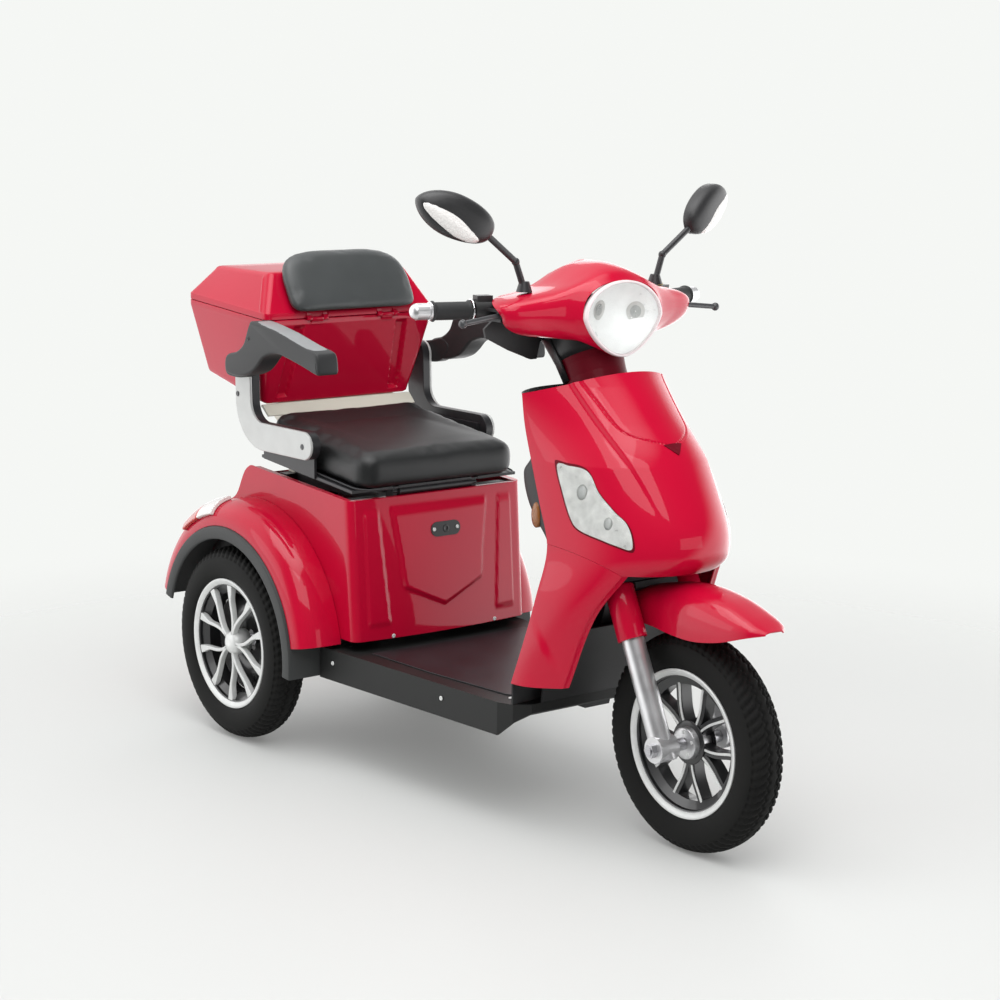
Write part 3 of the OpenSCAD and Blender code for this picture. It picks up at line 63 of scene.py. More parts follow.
# Lengths below are millimetres with x measured from the rear axle; the frame's origin lies at MIDDLE
MIDDLE = 509.5
WHEELBASE = 1110
TYRE_R = 204
RAKE = math.radians(25)
SWEEP = math.radians(17)
GRIP_Z = 966
BAR_X = WHEELBASE - (GRIP_Z - TYRE_R) * math.tan(RAKE)
BEND_Y = 190
REAR_Y = 271
FORK_Y = 80
BOTH = ((1, "left"), (-1, "right"))


def metres(p):
    return ((p[0] - MIDDLE) / 1000, p[1] / 1000, p[2] / 1000)


def sin(a):
    return math.sin(math.radians(a))


def cos(a):
    return math.cos(math.radians(a))


def polar(r, a):
    return (r * cos(a), r * sin(a))


def circle(n):
    """Cosine and sine at n even steps round a circle."""
    return [polar(1, 360 * i / n) for i in range(n)]


def on_side(p, side):
    """A point kept for side 1 and mirrored for side -1."""
    return (p[0], side * p[1], p[2])


def mix(a, b, t):
    return a + (b - a) * t


def step(a, b, t):
    """Smooth rise from 0 at a to 1 at b."""
    u = min(1, max(0, (t - a) / (b - a)))
    return u * u * (3 - 2 * u)


def power(v, p):
    return math.copysign(abs(v) ** p, v)


def curve(keys, t):
    """Smooth curve through keys of the form (t, value)."""
    i = 0
    while i < len(keys) - 2 and t >= keys[i + 1][0]:
        i += 1

    def slope(k):
        a, b = max(0, k - 1), min(len(keys) - 1, k + 1)
        return (keys[b][1] - keys[a][1]) / (keys[b][0] - keys[a][0])

    h = keys[i + 1][0] - keys[i][0]
    u = min(1, max(0, (t - keys[i][0]) / h))
    return (keys[i][1] * (2 * u**3 - 3 * u**2 + 1) + slope(i) * h * (u**3 - 2 * u**2 + u)
            + keys[i + 1][1] * (3 * u**2 - 2 * u**3) + slope(i + 1) * h * (u**3 - u**2))


# Materials


def add_node(tree, kind, inputs, **traits):
    """A shader node; each input takes a value or the output of another node."""
    node = tree.nodes.new("ShaderNode" + kind)
    for key, value in traits.items():
        setattr(node, key, value)
    for key, value in inputs.items():
        if isinstance(value, bpy.types.NodeSocket):
            tree.links.new(value, node.inputs[key])
        else:
            node.inputs[key].default_value = value
    return node


def empty_tree(owner):
    owner.use_nodes = True
    owner.node_tree.nodes.clear()
    return owner.node_tree


def material(name, base, rough=0.5, metal=0.0, vary=0.12, vary_scale=6.0, rough_vary=0.08, bump=None,
             stretch=(1, 1, 1), coat=0.0, coat_rough=0.05, cells=None, transmission=0.0, ior=1.5,
             specular=0.5, emission=0.0):
    """Principled material whose colour, roughness and relief come from procedural noise.

    bump and cells are (scale, strength, distance) of a fine grain and of a cell pattern.
    """
    m = bpy.data.materials.new(name)
    tree = empty_tree(m)
    where = add_node(tree, "TexCoord", {}).outputs["Object"]
    scaled = add_node(tree, "Mapping", {"Vector": where, "Scale": stretch}).outputs[0]
    cloud = add_node(tree, "TexNoise", {"Vector": scaled, "Scale": vary_scale, "Detail": 5}).outputs["Fac"]
    colour = add_node(tree, "ValToRGB", {"Fac": cloud})
    for stop, at, shade in zip(colour.color_ramp.elements, (0.3, 0.7), (1 - vary, 1 + vary)):
        stop.position = at
        stop.color = (*[min(1, c * shade) for c in base], 1)
    spread = add_node(tree, "MapRange", {
        "Value": cloud, "To Min": max(0.02, rough - rough_vary), "To Max": min(1, rough + rough_vary)})
    look = {"Base Color": colour.outputs["Color"], "Roughness": spread.outputs[0], "Metallic": metal,
            "Coat Weight": coat, "Coat Roughness": coat_rough, "Transmission Weight": transmission,
            "IOR": ior, "Specular IOR Level": specular}
    if emission:
        look.update({"Emission Color": (*base, 1), "Emission Strength": emission})
    relief = {}

    def raise_by(height, strength, distance):
        node = add_node(tree, "Bump", {
            "Height": height, "Strength": strength, "Distance": distance, **relief})
        relief["Normal"] = node.outputs[0]

    if bump:
        grain = add_node(tree, "TexNoise", {"Vector": scaled, "Scale": bump[0], "Detail": 4})
        raise_by(grain.outputs["Fac"], *bump[1:])
    if cells:
        cell = add_node(tree, "TexVoronoi", {"Vector": where, "Scale": cells[0]}, feature="DISTANCE_TO_EDGE")
        rim = add_node(tree, "MapRange", {"Value": cell.outputs["Distance"], "From Max": 0.12})
        raise_by(rim.outputs[0], *cells[1:])
    surface = add_node(tree, "BsdfPrincipled", {**look, **relief})
    add_node(tree, "OutputMaterial", {"Surface": surface.outputs[0]})
    return m


RED = material("candy_red", (0.5, 0.002, 0.028), rough=0.4, vary=0.05, vary_scale=3,
               rough_vary=0.05, bump=(420, 0.02, 0.0004), coat=0.55, coat_rough=0.04, specular=0.06)
DEEP = material("shaded_red", (0.13, 0.002, 0.01), rough=0.5, vary=0.1, vary_scale=3,
                bump=(420, 0.02, 0.0004), coat=0.05, specular=0.1)
DARK = material("grained_grey", (0.027, 0.028, 0.029), rough=0.52, vary=0.15,
                bump=(1400, 0.25, 0.0003), specular=0.35)
BLACK = material("black_plastic", (0.016, 0.016, 0.017), rough=0.45, vary=0.2,
                 bump=(1200, 0.2, 0.0003))
TRIM = material("arch_plastic", (0.026, 0.028, 0.028), rough=0.58, vary=0.18,
                bump=(1000, 0.3, 0.0004))
POWDER = material("powder_black", (0.018, 0.018, 0.02), rough=0.42, vary=0.2,
                  bump=(900, 0.2, 0.0003))
PALE = material("pale_steel", (0.72, 0.72, 0.62), rough=0.32, vary=0.06,
                bump=(300, 0.05, 0.0003), coat=0.3)
STEEL = material("brushed_steel", (0.5, 0.5, 0.52), rough=0.32, metal=1, vary=0.1, vary_scale=40,
                 stretch=(1, 12, 12), bump=(60, 0.05, 0.0002))
LEVER = material("lever_grey", (0.05, 0.052, 0.055), rough=0.38, vary=0.15,
                 bump=(800, 0.1, 0.0002), coat=0.2)
CHROME = material("chrome", (0.83, 0.83, 0.85), rough=0.1, metal=1, vary=0.03, rough_vary=0.04,
                  bump=(30, 0.02, 0.0003))
ALLOY = material("cast_alloy", (0.66, 0.66, 0.67), rough=0.36, metal=0.85, vary=0.08,
                 vary_scale=30, bump=(700, 0.12, 0.0002))
BRIGHT = material("machined_alloy", (0.7, 0.71, 0.7), rough=0.38, metal=0.15, vary=0.05,
                  vary_scale=60, bump=(1500, 0.06, 0.0002))
ARM_SILVER = material("silver_arm", (0.54, 0.55, 0.54), rough=0.42, metal=0.25, vary=0.05,
                      vary_scale=25, bump=(900, 0.1, 0.0002))
SPOKE = material("spoke_black", (0.012, 0.012, 0.013), rough=0.3, vary=0.2,
                 bump=(600, 0.08, 0.0002), coat=0.4)
RUBBER = material("grip_rubber", (0.018, 0.019, 0.02), rough=0.62, vary=0.15,
                  bump=(1600, 0.3, 0.0003))
TYRE = material("tyre_rubber", (0.006, 0.006, 0.0056), rough=0.72, vary=0.25, vary_scale=14,
                bump=(900, 0.35, 0.0004), specular=0.2)
MAT = material("mat_rubber", (0.016, 0.016, 0.018), rough=0.42, vary=0.3, vary_scale=9,
               bump=(500, 0.3, 0.0006), specular=0.35)
BOARD = material("board_plastic", (0.009, 0.0095, 0.0092), rough=0.5, vary=0.2,
                 bump=(1100, 0.3, 0.0004), specular=0.35)
LEATHER = material("black_leather", (0.007, 0.0078, 0.0082), rough=0.5, vary=0.15, vary_scale=10,
                   rough_vary=0.06, bump=(260, 0.12, 0.0006), cells=(420, 0.25, 0.0004), coat=0.38,
                   coat_rough=0.46, specular=0.3)
# The backrest's black leather, painted several times lighter than the seat's leather to stand for the sheen
# of the top light on it: painted highlight.
PAD_PAINTED_SHEEN = material("pad_leather_painted_sheen", (0.036, 0.041, 0.042), rough=0.5, vary=0.15, vary_scale=10,
               rough_vary=0.06, bump=(260, 0.12, 0.0006), cells=(420, 0.25, 0.0004), coat=0.4,
               coat_rough=0.46)
THREAD = material("thread", (0.03, 0.03, 0.032), rough=0.7, vary=0.2, bump=(2500, 0.4, 0.0003))
CLEAR = material("clear_lens", (0.95, 0.96, 0.97), rough=0.04, vary=0.01, rough_vary=0.02,
                 transmission=1.0, ior=1.2, bump=(140, 0.1, 0.001))
PRISM = material("lens_reflector", (0.64, 0.64, 0.62), rough=0.3, metal=0.25, vary=0.2,
                 vary_scale=45, cells=(420, 0.35, 0.001))
# The reflector bowl's emission is a painted glow standing in for the studio light the bowl reflects.
BOWL = material("lamp_bowl_painted_glow", (0.78, 0.79, 0.78), rough=0.3, metal=0.1, vary=0.06, vary_scale=40,
                cells=(300, 0.3, 0.001), emission=0.22)
CUP = material("lamp_cup", (0.42, 0.43, 0.42), rough=0.3, metal=0.3, vary=0.15, vary_scale=60,
               cells=(500, 0.2, 0.0006))
WHITE = material("white_bezel", (0.82, 0.72, 0.73), rough=0.3, vary=0.04,
                 bump=(300, 0.03, 0.0003), coat=0.6)
AMBER = material("amber_lens", (0.27, 0.085, 0.006), rough=0.25, vary=0.1,
                 cells=(260, 0.7, 0.001), coat=0.6)
TAIL = material("red_lens", (0.55, 0.03, 0.02), rough=0.18, vary=0.1, cells=(170, 0.5, 0.001),
                coat=0.8)
FROST = material("pale_lens", (0.8, 0.78, 0.76), rough=0.2, vary=0.06, cells=(130, 0.5, 0.001),
                 coat=0.8)
GLASS = material("mirror_glass", (0.85, 0.87, 0.88), rough=0.04, metal=1, vary=0.01,
                 rough_vary=0.02)
CASE = material("battery_case", (0.12, 0.14, 0.17), rough=0.5, vary=0.15, bump=(500, 0.15, 0.0003))
# Insert along the armrest's top; its pale grey is a painted highlight of the light falling on the top, not
# the insert's own tone.
INSERT_PAINTED_HIGHLIGHT = material("arm_insert", (0.26, 0.27, 0.275), rough=0.4, vary=0.12,
                  bump=(1200, 0.25, 0.0003))
HORN = material("button_yellow", (0.6, 0.4, 0.03), rough=0.4, vary=0.08,
                bump=(900, 0.1, 0.0002))
SPRING = material("spring_red", (0.5, 0.03, 0.03), rough=0.35, vary=0.12, bump=(700, 0.1, 0.0002),
                  coat=0.4)


# Mesh making

def piece(name, verts, faces, mat, body, replaces=(), smooth=True):
    """A mesh piece from points in millimetres, riding on a body."""
    mesh = bpy.data.meshes.new(name)
    mesh.from_pydata([metres(v) for v in verts], [], faces)
    mesh.update()
    mesh.materials.append(mat)
    o = bpy.data.objects.new(name, mesh)
    bpy.context.scene.collection.objects.link(o)
    for p in mesh.polygons:
        p.use_smooth = smooth
    if body:
        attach(o, body)
    if replaces:
        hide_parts(*replaces)
    return o


def grid_faces(rows, cols, wrap=False, close=False):
    """Quads over a grid; wrap joins the last column to the first, close the last row to the first."""
    faces = []
    for i in range(rows if close else rows - 1):
        for j in range(cols if wrap else cols - 1):
            k, b = (j + 1) % cols, (i + 1) % rows
            faces.append((i * cols + j, b * cols + j, b * cols + k, i * cols + k))
    return faces


def sheet(name, grid, mat, body, thick=0.0, wrap=False, offset=-1, **kw):
    """A smooth panel over a grid of points, thickened when thick is set."""
    verts = [p for row in grid for p in row]
    o = piece(name, verts, grid_faces(len(grid), len(grid[0]), wrap), mat, body, **kw)
    if thick:
        t = o.modifiers.new("wall", "SOLIDIFY")
        t.thickness = thick / 1000
        t.offset = offset
        t.use_even_offset = True
        edge(o, 0.8, 50)
    return o


def edge(o, width, angle=40, segments=2):
    """Round the edges of a piece that turn by more than angle."""
    b = o.modifiers.new("edge", "BEVEL")
    b.width = width / 1000
    b.segments = segments
    b.limit_method = "ANGLE"
    b.angle_limit = math.radians(angle)
    b.harden_normals = True
    return o


def loft(name, rings, mat, body, **kw):
    """A closed solid through rings of points, with a fan over each end."""
    n = len(rings[0])
    verts = [p for r in rings for p in r]
    faces = grid_faces(len(rings), n, True)
    for r, flip in ((0, False), (len(rings) - 1, True)):
        c = [sum(p[k] for p in rings[r]) / n for k in range(3)]
        verts.append(c)
        hub = len(verts) - 1
        for j in range(n):
            a, b = r * n + j, r * n + (j + 1) % n
            faces.append((b, a, hub) if flip else (a, b, hub))
    return outward(piece(name, verts, faces, mat, body, **kw))


def outward(o):
    """Turn the faces of a piece outward."""
    b = bmesh.new()
    b.from_mesh(o.data)
    bmesh.ops.recalc_face_normals(b, faces=b.faces)
    b.to_mesh(o.data)
    b.free()
    return o


def lathe(name, section, place, mat, body, steps=96, start=0, angle=360, **kw):
    """A section of (radius, axial) points turned about an axis; place maps (x, y, axial) to the frame."""
    full = angle >= 360
    rows, cols = steps if full else steps + 1, len(section)
    verts = []
    for i in range(rows):
        verts += [place(*polar(r, start + angle * i / steps), w) for r, w in section]
    faces = grid_faces(rows, cols, True, full)
    if not full:
        faces += [tuple(range(cols)), tuple(range((rows - 1) * cols, rows * cols))[::-1]]
    return outward(piece(name, verts, faces, mat, body, **kw))


def prism(name, outline, lift, depth, place, mat, body, bevel=0, **kw):
    """An outline of 2-D points pushed along a third axis; place maps (u, v, w) to the frame."""
    n = len(outline)
    verts = [place(u, v, lift) for u, v in outline] + [place(u, v, lift + depth) for u, v in outline]
    faces = [tuple(range(n))[::-1], tuple(range(n, 2 * n))]
    faces += [(i, (i + 1) % n, n + (i + 1) % n, n + i) for i in range(n)]
    o = outward(piece(name, verts, faces, mat, body, **kw))
    if bevel:
        edge(o, bevel, 30, 3)
    return o


def pipe(name, path, radius, mat, body, sides, **kw):
    """A tube swept along points, with closed ends."""
    pts = [Vector(p) for p in path]
    rings = []
    up = None
    for i, p in enumerate(pts):
        d = (pts[min(i + 1, len(pts) - 1)] - pts[max(i - 1, 0)]).normalized()
        if up is None:
            up = d.orthogonal().normalized()
        up = (up - d * up.dot(d)).normalized()
        side = d.cross(up)
        rings.append([tuple(p + (up * c + side * s) * radius) for c, s in circle(sides)])
    return loft(name, rings, mat, body, **kw)


def dress(mat, *nodes):
    """Give carried CAD nodes a material."""
    for node in nodes:
        o = frame["nodes"][node]
        o.data.materials.clear()
        o.data.materials.append(mat)


def wheel_place(x, y, side=1):
    """Local u forward, v up and w along the axle, to the right for side 1."""
    return lambda u, v, w: (x + u, y - side * w, TYRE_R + v)


def fork_place(y):
    """Local u forward, v across and w up the steering axis from the front axle."""
    def place(u, v, w):
        return (WHEELBASE + u * math.cos(RAKE) - w * math.sin(RAKE), y + v,
                TYRE_R + u * math.sin(RAKE) + w * math.cos(RAKE))
    return place


def grip_place(side):
    """Local w outward along a grip from the handlebar's bend, v up."""
    def place(u, v, w):
        return (BAR_X + u * math.cos(SWEEP) - w * math.sin(SWEEP),
                side * (BEND_Y + u * math.sin(SWEEP) + w * math.cos(SWEEP)), GRIP_Z + v)
    return place


# Front body

SHIELD_LOW, SHIELD_KNEE, LEG_FOOT = 512, 551, 283
FOLD_ANGLE = 44
EDGE_X = [(283, 830), (380, 862), (450, 878), (551, 885), (620, 860), (698, 833), (760, 814),
          (817, 805), (860, 799)]
EDGE_Y = [(283, 206), (380, 199), (450, 190), (551, 170), (860, 169)]
NOSE_X = [(500, 1080), (530, 1120), (560, 1129), (600, 1121), (650, 1093), (713, 1046),
          (770, 990), (830, 932), (860, 903)]
SEAM_Y = [(735, 12), (742, 40), (752, 66), (764, 77), (798, 85), (845, 96)]
FOLD_Y = [(600, 78), (631, 83), (713, 96), (779, 105), (850, 116)]


def shield_at(a, z):
    """Point of the shield at height z, a degrees round from its nose."""
    full = min(1, max(0, (z - 700) / 130))
    x = curve(EDGE_X, z)
    return Vector((x + (curve(NOSE_X, z) - x) * max(0, cos(a)) ** (1 + full), curve(EDGE_Y, z) * sin(a), z))


def shield_out(a, z):
    d = (shield_at(a + 0.5, z) - shield_at(a - 0.5, z)).cross(shield_at(a, z + 1) - shield_at(a, z - 1))
    return d.normalized()


def shield_foot(a):
    fold = sin(FOLD_ANGLE) ** 2
    return SHIELD_LOW + (SHIELD_KNEE - SHIELD_LOW) * max(0, (sin(a) ** 2 - fold) / (1 - fold))


def shield_head(a):
    return 853 - 36 * sin(a) ** 2


def shield_relief(y, z):
    """Raised middle between the folds, with a groove along the upper seam."""
    y = abs(y)
    rise = 5 * step(600, 740, z) * step(0, 9, curve(FOLD_Y, z) - y)
    groove = 0
    if z > 733:
        groove = -2.6 * math.exp(-((y - curve(SEAM_Y, z)) / 2.2) ** 2)
    return rise + groove


def front_shield():
    rows, cols = 200, 300
    grid = []
    for i in range(rows + 1):
        row = []
        for j in range(cols + 1):
            a = 90 - 180 * j / cols
            z = mix(shield_foot(a), shield_head(a), i / rows)
            p = shield_at(a, z)
            row.append(p + shield_out(a, z) * shield_relief(p.y, z))
        grid.append(row)
    sheet("shield_panel", grid, RED, "chassis", 3.5, replaces=("front_shield",))
    slot = [(-7, 734), (0, 735.5), (7, 734), (2.2, 722), (0, 717), (-2.2, 722)]
    rim = [shield_at(a, z) + shield_out(a, z) * 6.4 for a, z in slot]
    deep = [shield_at(a * 0.9, z) + shield_out(a, z) * 3 for a, z in slot]
    loft("shield_slot", [deep, rim], DEEP, "chassis", smooth=False)


LENS = [(-73.2, 698), (-66, 699.5), (-58.6, 696.5), (-55.6, 685), (-54.4, 657), (-49.4, 627), (-44.8, 607),
        (-43.6, 580), (-44.6, 562), (-51.5, 567), (-59.6, 575.5), (-69.5, 587), (-72.8, 603), (-74, 646)]


def outline_at(points, t):
    """Closed smooth outline through points, t from 0 to 1."""
    n = len(points)
    f = t * n
    i = int(f) % n
    u = f - int(f)
    p0, p1, p2, p3 = (points[(i + k) % n] for k in (-1, 0, 1, 2))
    return tuple(
        0.5 * (2 * b + (c - a) * u + (2 * a - 5 * b + 4 * c - d) * u**2 + (3 * b - a - 3 * c + d) * u**3)
        for a, b, c, d in zip(p0, p1, p2, p3))


def lens_patch(name, size, lift, crown, mat, side, **kw):
    """A crowned patch on the shield inside the lens outline times size."""
    steps, rings = 84, 10
    mid = [sum(p[k] for p in LENS) / len(LENS) for k in (0, 1)]
    grid = []
    for i in range(rings + 1):
        row = []
        for j in range(steps):
            a, z = (mix(m, v, size * i / rings) for m, v in zip(mid, outline_at(LENS, j / steps)))
            p = shield_at(a, z) + shield_out(a, z) * (lift + crown * (1 - (i / rings) ** 2) ** 0.5)
            row.append(on_side(p, side))
        grid.append(row)
    outward(sheet(name, grid, mat, "chassis", wrap=True, **kw))


def signal_lenses():
    for side, tag in ((1, "right"), (-1, "left")):
        lens_patch("signal_rim_" + tag, 1.05, 0.5, 0.3, DEEP, side)
        lens_patch("signal_reflector_" + tag, 0.985, 0.9, 0.6, PRISM, side,
                   replaces=("front_signal_lenses",) if side == 1 else ())
        for k, (a, z, r) in enumerate(((-63, 655, 15), (-54, 605, 12))):
            out = shield_out(a, z)
            du = (shield_at(a + 1, z) - shield_at(a - 1, z)).normalized()
            dv = (Vector((0, 0, 1)) - out * out.z).normalized()
            rings = [[on_side(shield_at(a, z) + out * w + du * (r * 0.75 * k * c) + dv * (r * k * s), side)
                      for c, s in circle(24)] for k, w in ((0.2, 5), (0.7, 4), (1, 0.6))]
            loft("signal_bulb_%s_%d" % (tag, k), rings, CUP, "chassis")
        lens_patch("signal_lens_" + tag, 1.0, 2.2, 4.5, CLEAR, side)


ARCH_EDGE = [(0, shield_at(FOLD_ANGLE, SHIELD_LOW)), (0.4, Vector((984, 150, 430))),
             (1, Vector((930, 165, 288)))]


def leg_at(s, t):
    z = mix(SHIELD_KNEE, LEG_FOOT, t)
    rear = Vector((curve(EDGE_X, z), curve(EDGE_Y, z), z))
    top_a = mix(90, FOLD_ANGLE, s)
    top = shield_at(top_a, shield_foot(top_a))
    line = shield_at(90, SHIELD_KNEE).lerp(shield_at(FOLD_ANGLE, SHIELD_LOW), s)
    p = rear.lerp(curve(ARCH_EDGE, t), s) + (top - line) * (1 - t)
    return p + Vector((0, 10 * sin(180 * s) * t, -0.5 * (1 - t)))


def leg_panels():
    rows, cols = 60, 44
    for side, tag in BOTH:
        grid = []
        for i in range(rows + 1):
            t = i / rows
            lip = leg_at(1, t)
            row = [(lip.x + w, side * (lip.y - d), lip.z) for d, w in ((14, 3), (9, 1), (4, 0))]
            for j in range(cols + 1):
                p = leg_at(1 - j / cols, t)
                fold = 5 * step(0.02, 0.1, (t - 0.62) + (0.55 - j / cols) * -0.42) * sin(180 * j / cols)
                row.append((p.x, side * (p.y + fold), p.z))
            grid.append(row)
        sheet("leg_panel_" + tag, grid, RED, "chassis", 3, offset=-side,
              replaces=("leg_panels",) if side == 1 else ())


BULGE = [(242, 8), (330, 14), (500, 16), (560, 30), (610, 58), (668, 60), (700, 34), (740, 36), (817, 64)]
BULGE_SQUARE = [(242, 3), (540, 3), (580, 14), (672, 14), (712, 3), (817, 3)]


def inner_at(u, z):
    low = max(z, LEG_FOOT)
    square = curve(BULGE_SQUARE, z)
    fall = max(0, 1 - abs(u) ** square) ** mix(0.84, 0.5, square / 14)
    return Vector((curve(EDGE_X, low) - 0.5 - curve(BULGE, z) * fall, (curve(EDGE_Y, low) - 3) * u, z))


def inner_leg_shield():
    rows, cols = 120, 72
    grid = [[inner_at(sin(90 - 180 * j / cols), mix(242.5, 816, i / rows)) for j in range(cols + 1)]
            for i in range(rows + 1)]
    sheet("leg_shield_inside", grid, DARK, "chassis", 3, offset=1, replaces=("inner_leg_shield",))
    half, hole = 158, 72
    column = WHEELBASE - (817 - TYRE_R) * math.tan(RAKE)
    inner, outer = [], []
    for c, s in circle(96):
        y = half * s
        k = 1 - (y / half) ** 2
        inner.append((column + hole * c, hole * s, 811))
        outer.append((mix(808, 928, k) if c > 0 else 806 - 60 * k, y, 812))
    outward(sheet("leg_shield_lid", [inner, outer], DARK, "chassis", 3, wrap=True))
    for side, tag in ((-1, "right"), (1, "left")):
        x, y, z = inner_at(side * 0.978, 598)
        rings = [[(x + 7 + 12 * k * c, y + side * w, z + 24 * k * s) for c, s in circle(24)]
                 for k, w in ((1.0, -7), (1.0, 3), (0.9, 5.5), (0.5, 7), (0.1, 7.5))]
        loft("side_reflector_" + tag, rings, AMBER, "chassis")


# Rear body

BOX_HALF, BOX_CORNER = 220, 20


def box_plan(t):
    """Half of the seat box's plan from its rear to the middle of its front."""
    front = 347 - 21 * t
    flat = BOX_HALF - BOX_CORNER
    swell = mix(12, 4, t)
    pts = [(mix(-165, front - BOX_CORNER, i / 70), BOX_HALF) for i in range(70)]
    pts += [(front - BOX_CORNER + BOX_CORNER * cos(a), flat + BOX_CORNER * sin(a)) for a in range(90, -1, -6)]
    n = 60
    for i in range(1, n + 1):
        y = flat * (1 - i / n)
        pts.append((front + swell * (1 - (y / flat) ** 2), y))
    return pts


BOX_EDGE = [(-165, 478), (-130, 484), (-104, 496), (-92, 508), (-82, 525), (-72, 544), (-60, 560), (-41, 572)]


def box_top(x):
    if x < -41:
        return curve(BOX_EDGE, x)
    return mix(572, 548, min(1, (x + 41) / 367))


PANEL_EDGE = [(319, 4), (330, 40), (345, 78), (362, 97), (420, 104), (548, 124)]


def box_relief(y, z):
    """Raised U panel and upright ribs on the front of the seat box."""
    y = abs(y)
    inside = curve(PANEL_EDGE, z) - y if z > 319 else -20
    if z < 365:
        inside = min(inside, (z - mix(319, 362, min(1, y / 97))) * 0.9)
    panel = 5 * step(-3, 3, inside)
    rib = mix(139, 157, (z - 300) / 248)
    return (panel + 3 * step(-4, -1, y - rib) * step(285, 300, z)) * step(532, 508, z)


def seat_box():
    rows = 90
    grid = []
    for i in range(rows + 1):
        t = i / rows
        row = []
        for x, y in box_plan(t):
            z = mix(262, box_top(x), t)
            push = box_relief(y, z) if y < 185 and x > 280 else 0
            row.append((x + push, y, z))
        grid.append(row + [(x, -y, z) for x, y, z in row[-2::-1]])
    sheet("seat_box_panel", grid, RED, "chassis", 3, replaces=("seat_box",))
    rim = [p for p in grid[-1] if p[0] > -30]
    lip = [[(min(x, 325 - inset), math.copysign(min(abs(y), BOX_HALF - inset), y), z - drop)
            for x, y, z in rim] for drop, inset in ((0, 0), (0.2, 6), (0.6, 14), (3, 15))]
    outward(sheet("seat_box_lip", lip, RED, "chassis", 1.5))


def fender_section(t):
    """Section of a rear fender as (radius, axial), set in by t."""
    low_r, top_r, in_y, out_y = 250.3, 302, 220.5, 309
    return [(low_r + (top_r - low_r - t) * sin(a) ** 0.9, in_y + (out_y - in_y - t) * max(0, cos(a)) ** 0.7)
            for a in (90 * i / 24 for i in range(25))]


def rear_fenders():
    section = fender_section(0) + fender_section(3.5)[::-1]
    trim = [(246, 228), (250, 228), (250, 310), (248, 314.5), (243, 315), (226, 315), (223, 313.5),
            (222, 310), (224, 309), (240, 309), (246, 305)]
    lining = [(207, 221), (299, 221), (299, 223), (207, 223)]
    lamp = fender_section(-9)[6:21] + fender_section(0)[20:5:-1]
    for side, tag in ((1, "right"), (-1, "left")):
        place = wheel_place(0, 0, side)
        edge(lathe("fender_" + tag, section, place, RED, "chassis", 110, 9, 155,
                   replaces=("rear_fender_" + tag,)), 0.8, 45)
        edge(lathe("arch_trim_" + tag, trim, place, TRIM, "chassis", 110, -6, 171,
                   replaces=("wheel_arch_trims",) if side == 1 else ()), 1.5, 50)
        lathe("arch_lining_" + tag, lining, place, BLACK, "chassis", 60, 84, 79)
        for k, (start, end, mat) in enumerate(((101, 114, FROST), (114.4, 128, TAIL))):
            edge(lathe("rear_lamp_%s_%d" % (tag, k), lamp, place, mat, "chassis", 24, start, end - start,
                       replaces=("rear_lamps",) if side == 1 and k == 0 else ()), 2.5, 30, 3)


# Trunk

def plan_ring(x0, x1, half, r):
    """Rounded rectangle in plan from the front left corner round to the front edge, evenly divided."""
    corner, flat = 8, 110
    mids = [(x1 - r, half - r), (x0 + r, half - r), (x0 + r, r - half), (x1 - r, r - half)]
    pts = []
    for c, (x, y) in enumerate(mids):
        for i in range(corner + 1):
            a = 90 * (c + i / corner)
            pts.append((x + r * cos(a), y + r * sin(a)))
        a = 90 * (c + 1)
        p = Vector(pts[-1])
        q = Vector(mids[(c + 1) % 4]) + Vector((cos(a), sin(a))) * r
        pts += [tuple(p.lerp(q, i / flat)) for i in range(1, flat)]
    return pts


def seam_z(x):
    return mix(880, 902, (17 - x) / (17 + 295))


def foot_z(x):
    return 697 + 0.21 * (-36 - x)


def seam_ring(inset, lift):
    plan = plan_ring(-295 + inset, 17 - inset, 215 - inset, max(4, 14 - inset))
    return [(x, y, seam_z(x) + lift) for x, y in plan]


def foot_ring(rear, front, side, r, lift):
    return [(x, y, foot_z(x) + lift) for x, y in plan_ring(-266 + rear, -36 - front, 190 - side, r)]


def head_ring(inset, r, z):
    return [(x, y, z) for x, y in plan_ring(-252 + inset, -27 - inset, 178 - inset, r)]


def between(a, b, n, relief):
    """Rings from a towards b, the last left off, each point pushed by relief(side, across, height)."""
    rings = []
    for i in range(n):
        t = i / n
        ring = []
        for p, q in zip(a, b):
            p, q = Vector(p), Vector(q)
            m = p.lerp(q, t)
            front = m.x > mix(max(v[0] for v in a), max(v[0] for v in b), t) - 3
            half = mix(max(v[1] for v in a), max(v[1] for v in b), t)
            if front:
                m.x += relief("front", m.y / half, t)
            elif abs(m.y) > half - 3:
                m.y += math.copysign(relief("side", m.x, t), m.y)
            ring.append(tuple(m))
        rings.append(ring)
    return rings


def tub_relief(where, u, t):
    """Two upright channels in the front of the tub."""
    if where == "side":
        return 0
    off = abs(abs(u) * mix(190, 214, t) - mix(144, 131, t))
    return -10 * step(14, 10, off) * step(0.035, 0.06, t) * step(1.0, 0.96, t)


def lid_relief(where, u, t):
    """An upright groove beside the front corner of the lid."""
    if where == "front":
        return 0
    return -2.5 * math.exp(-((u - mix(-6, -48, t)) / 3) ** 2) * step(0, 0.06, t) * step(1, 0.94, t)


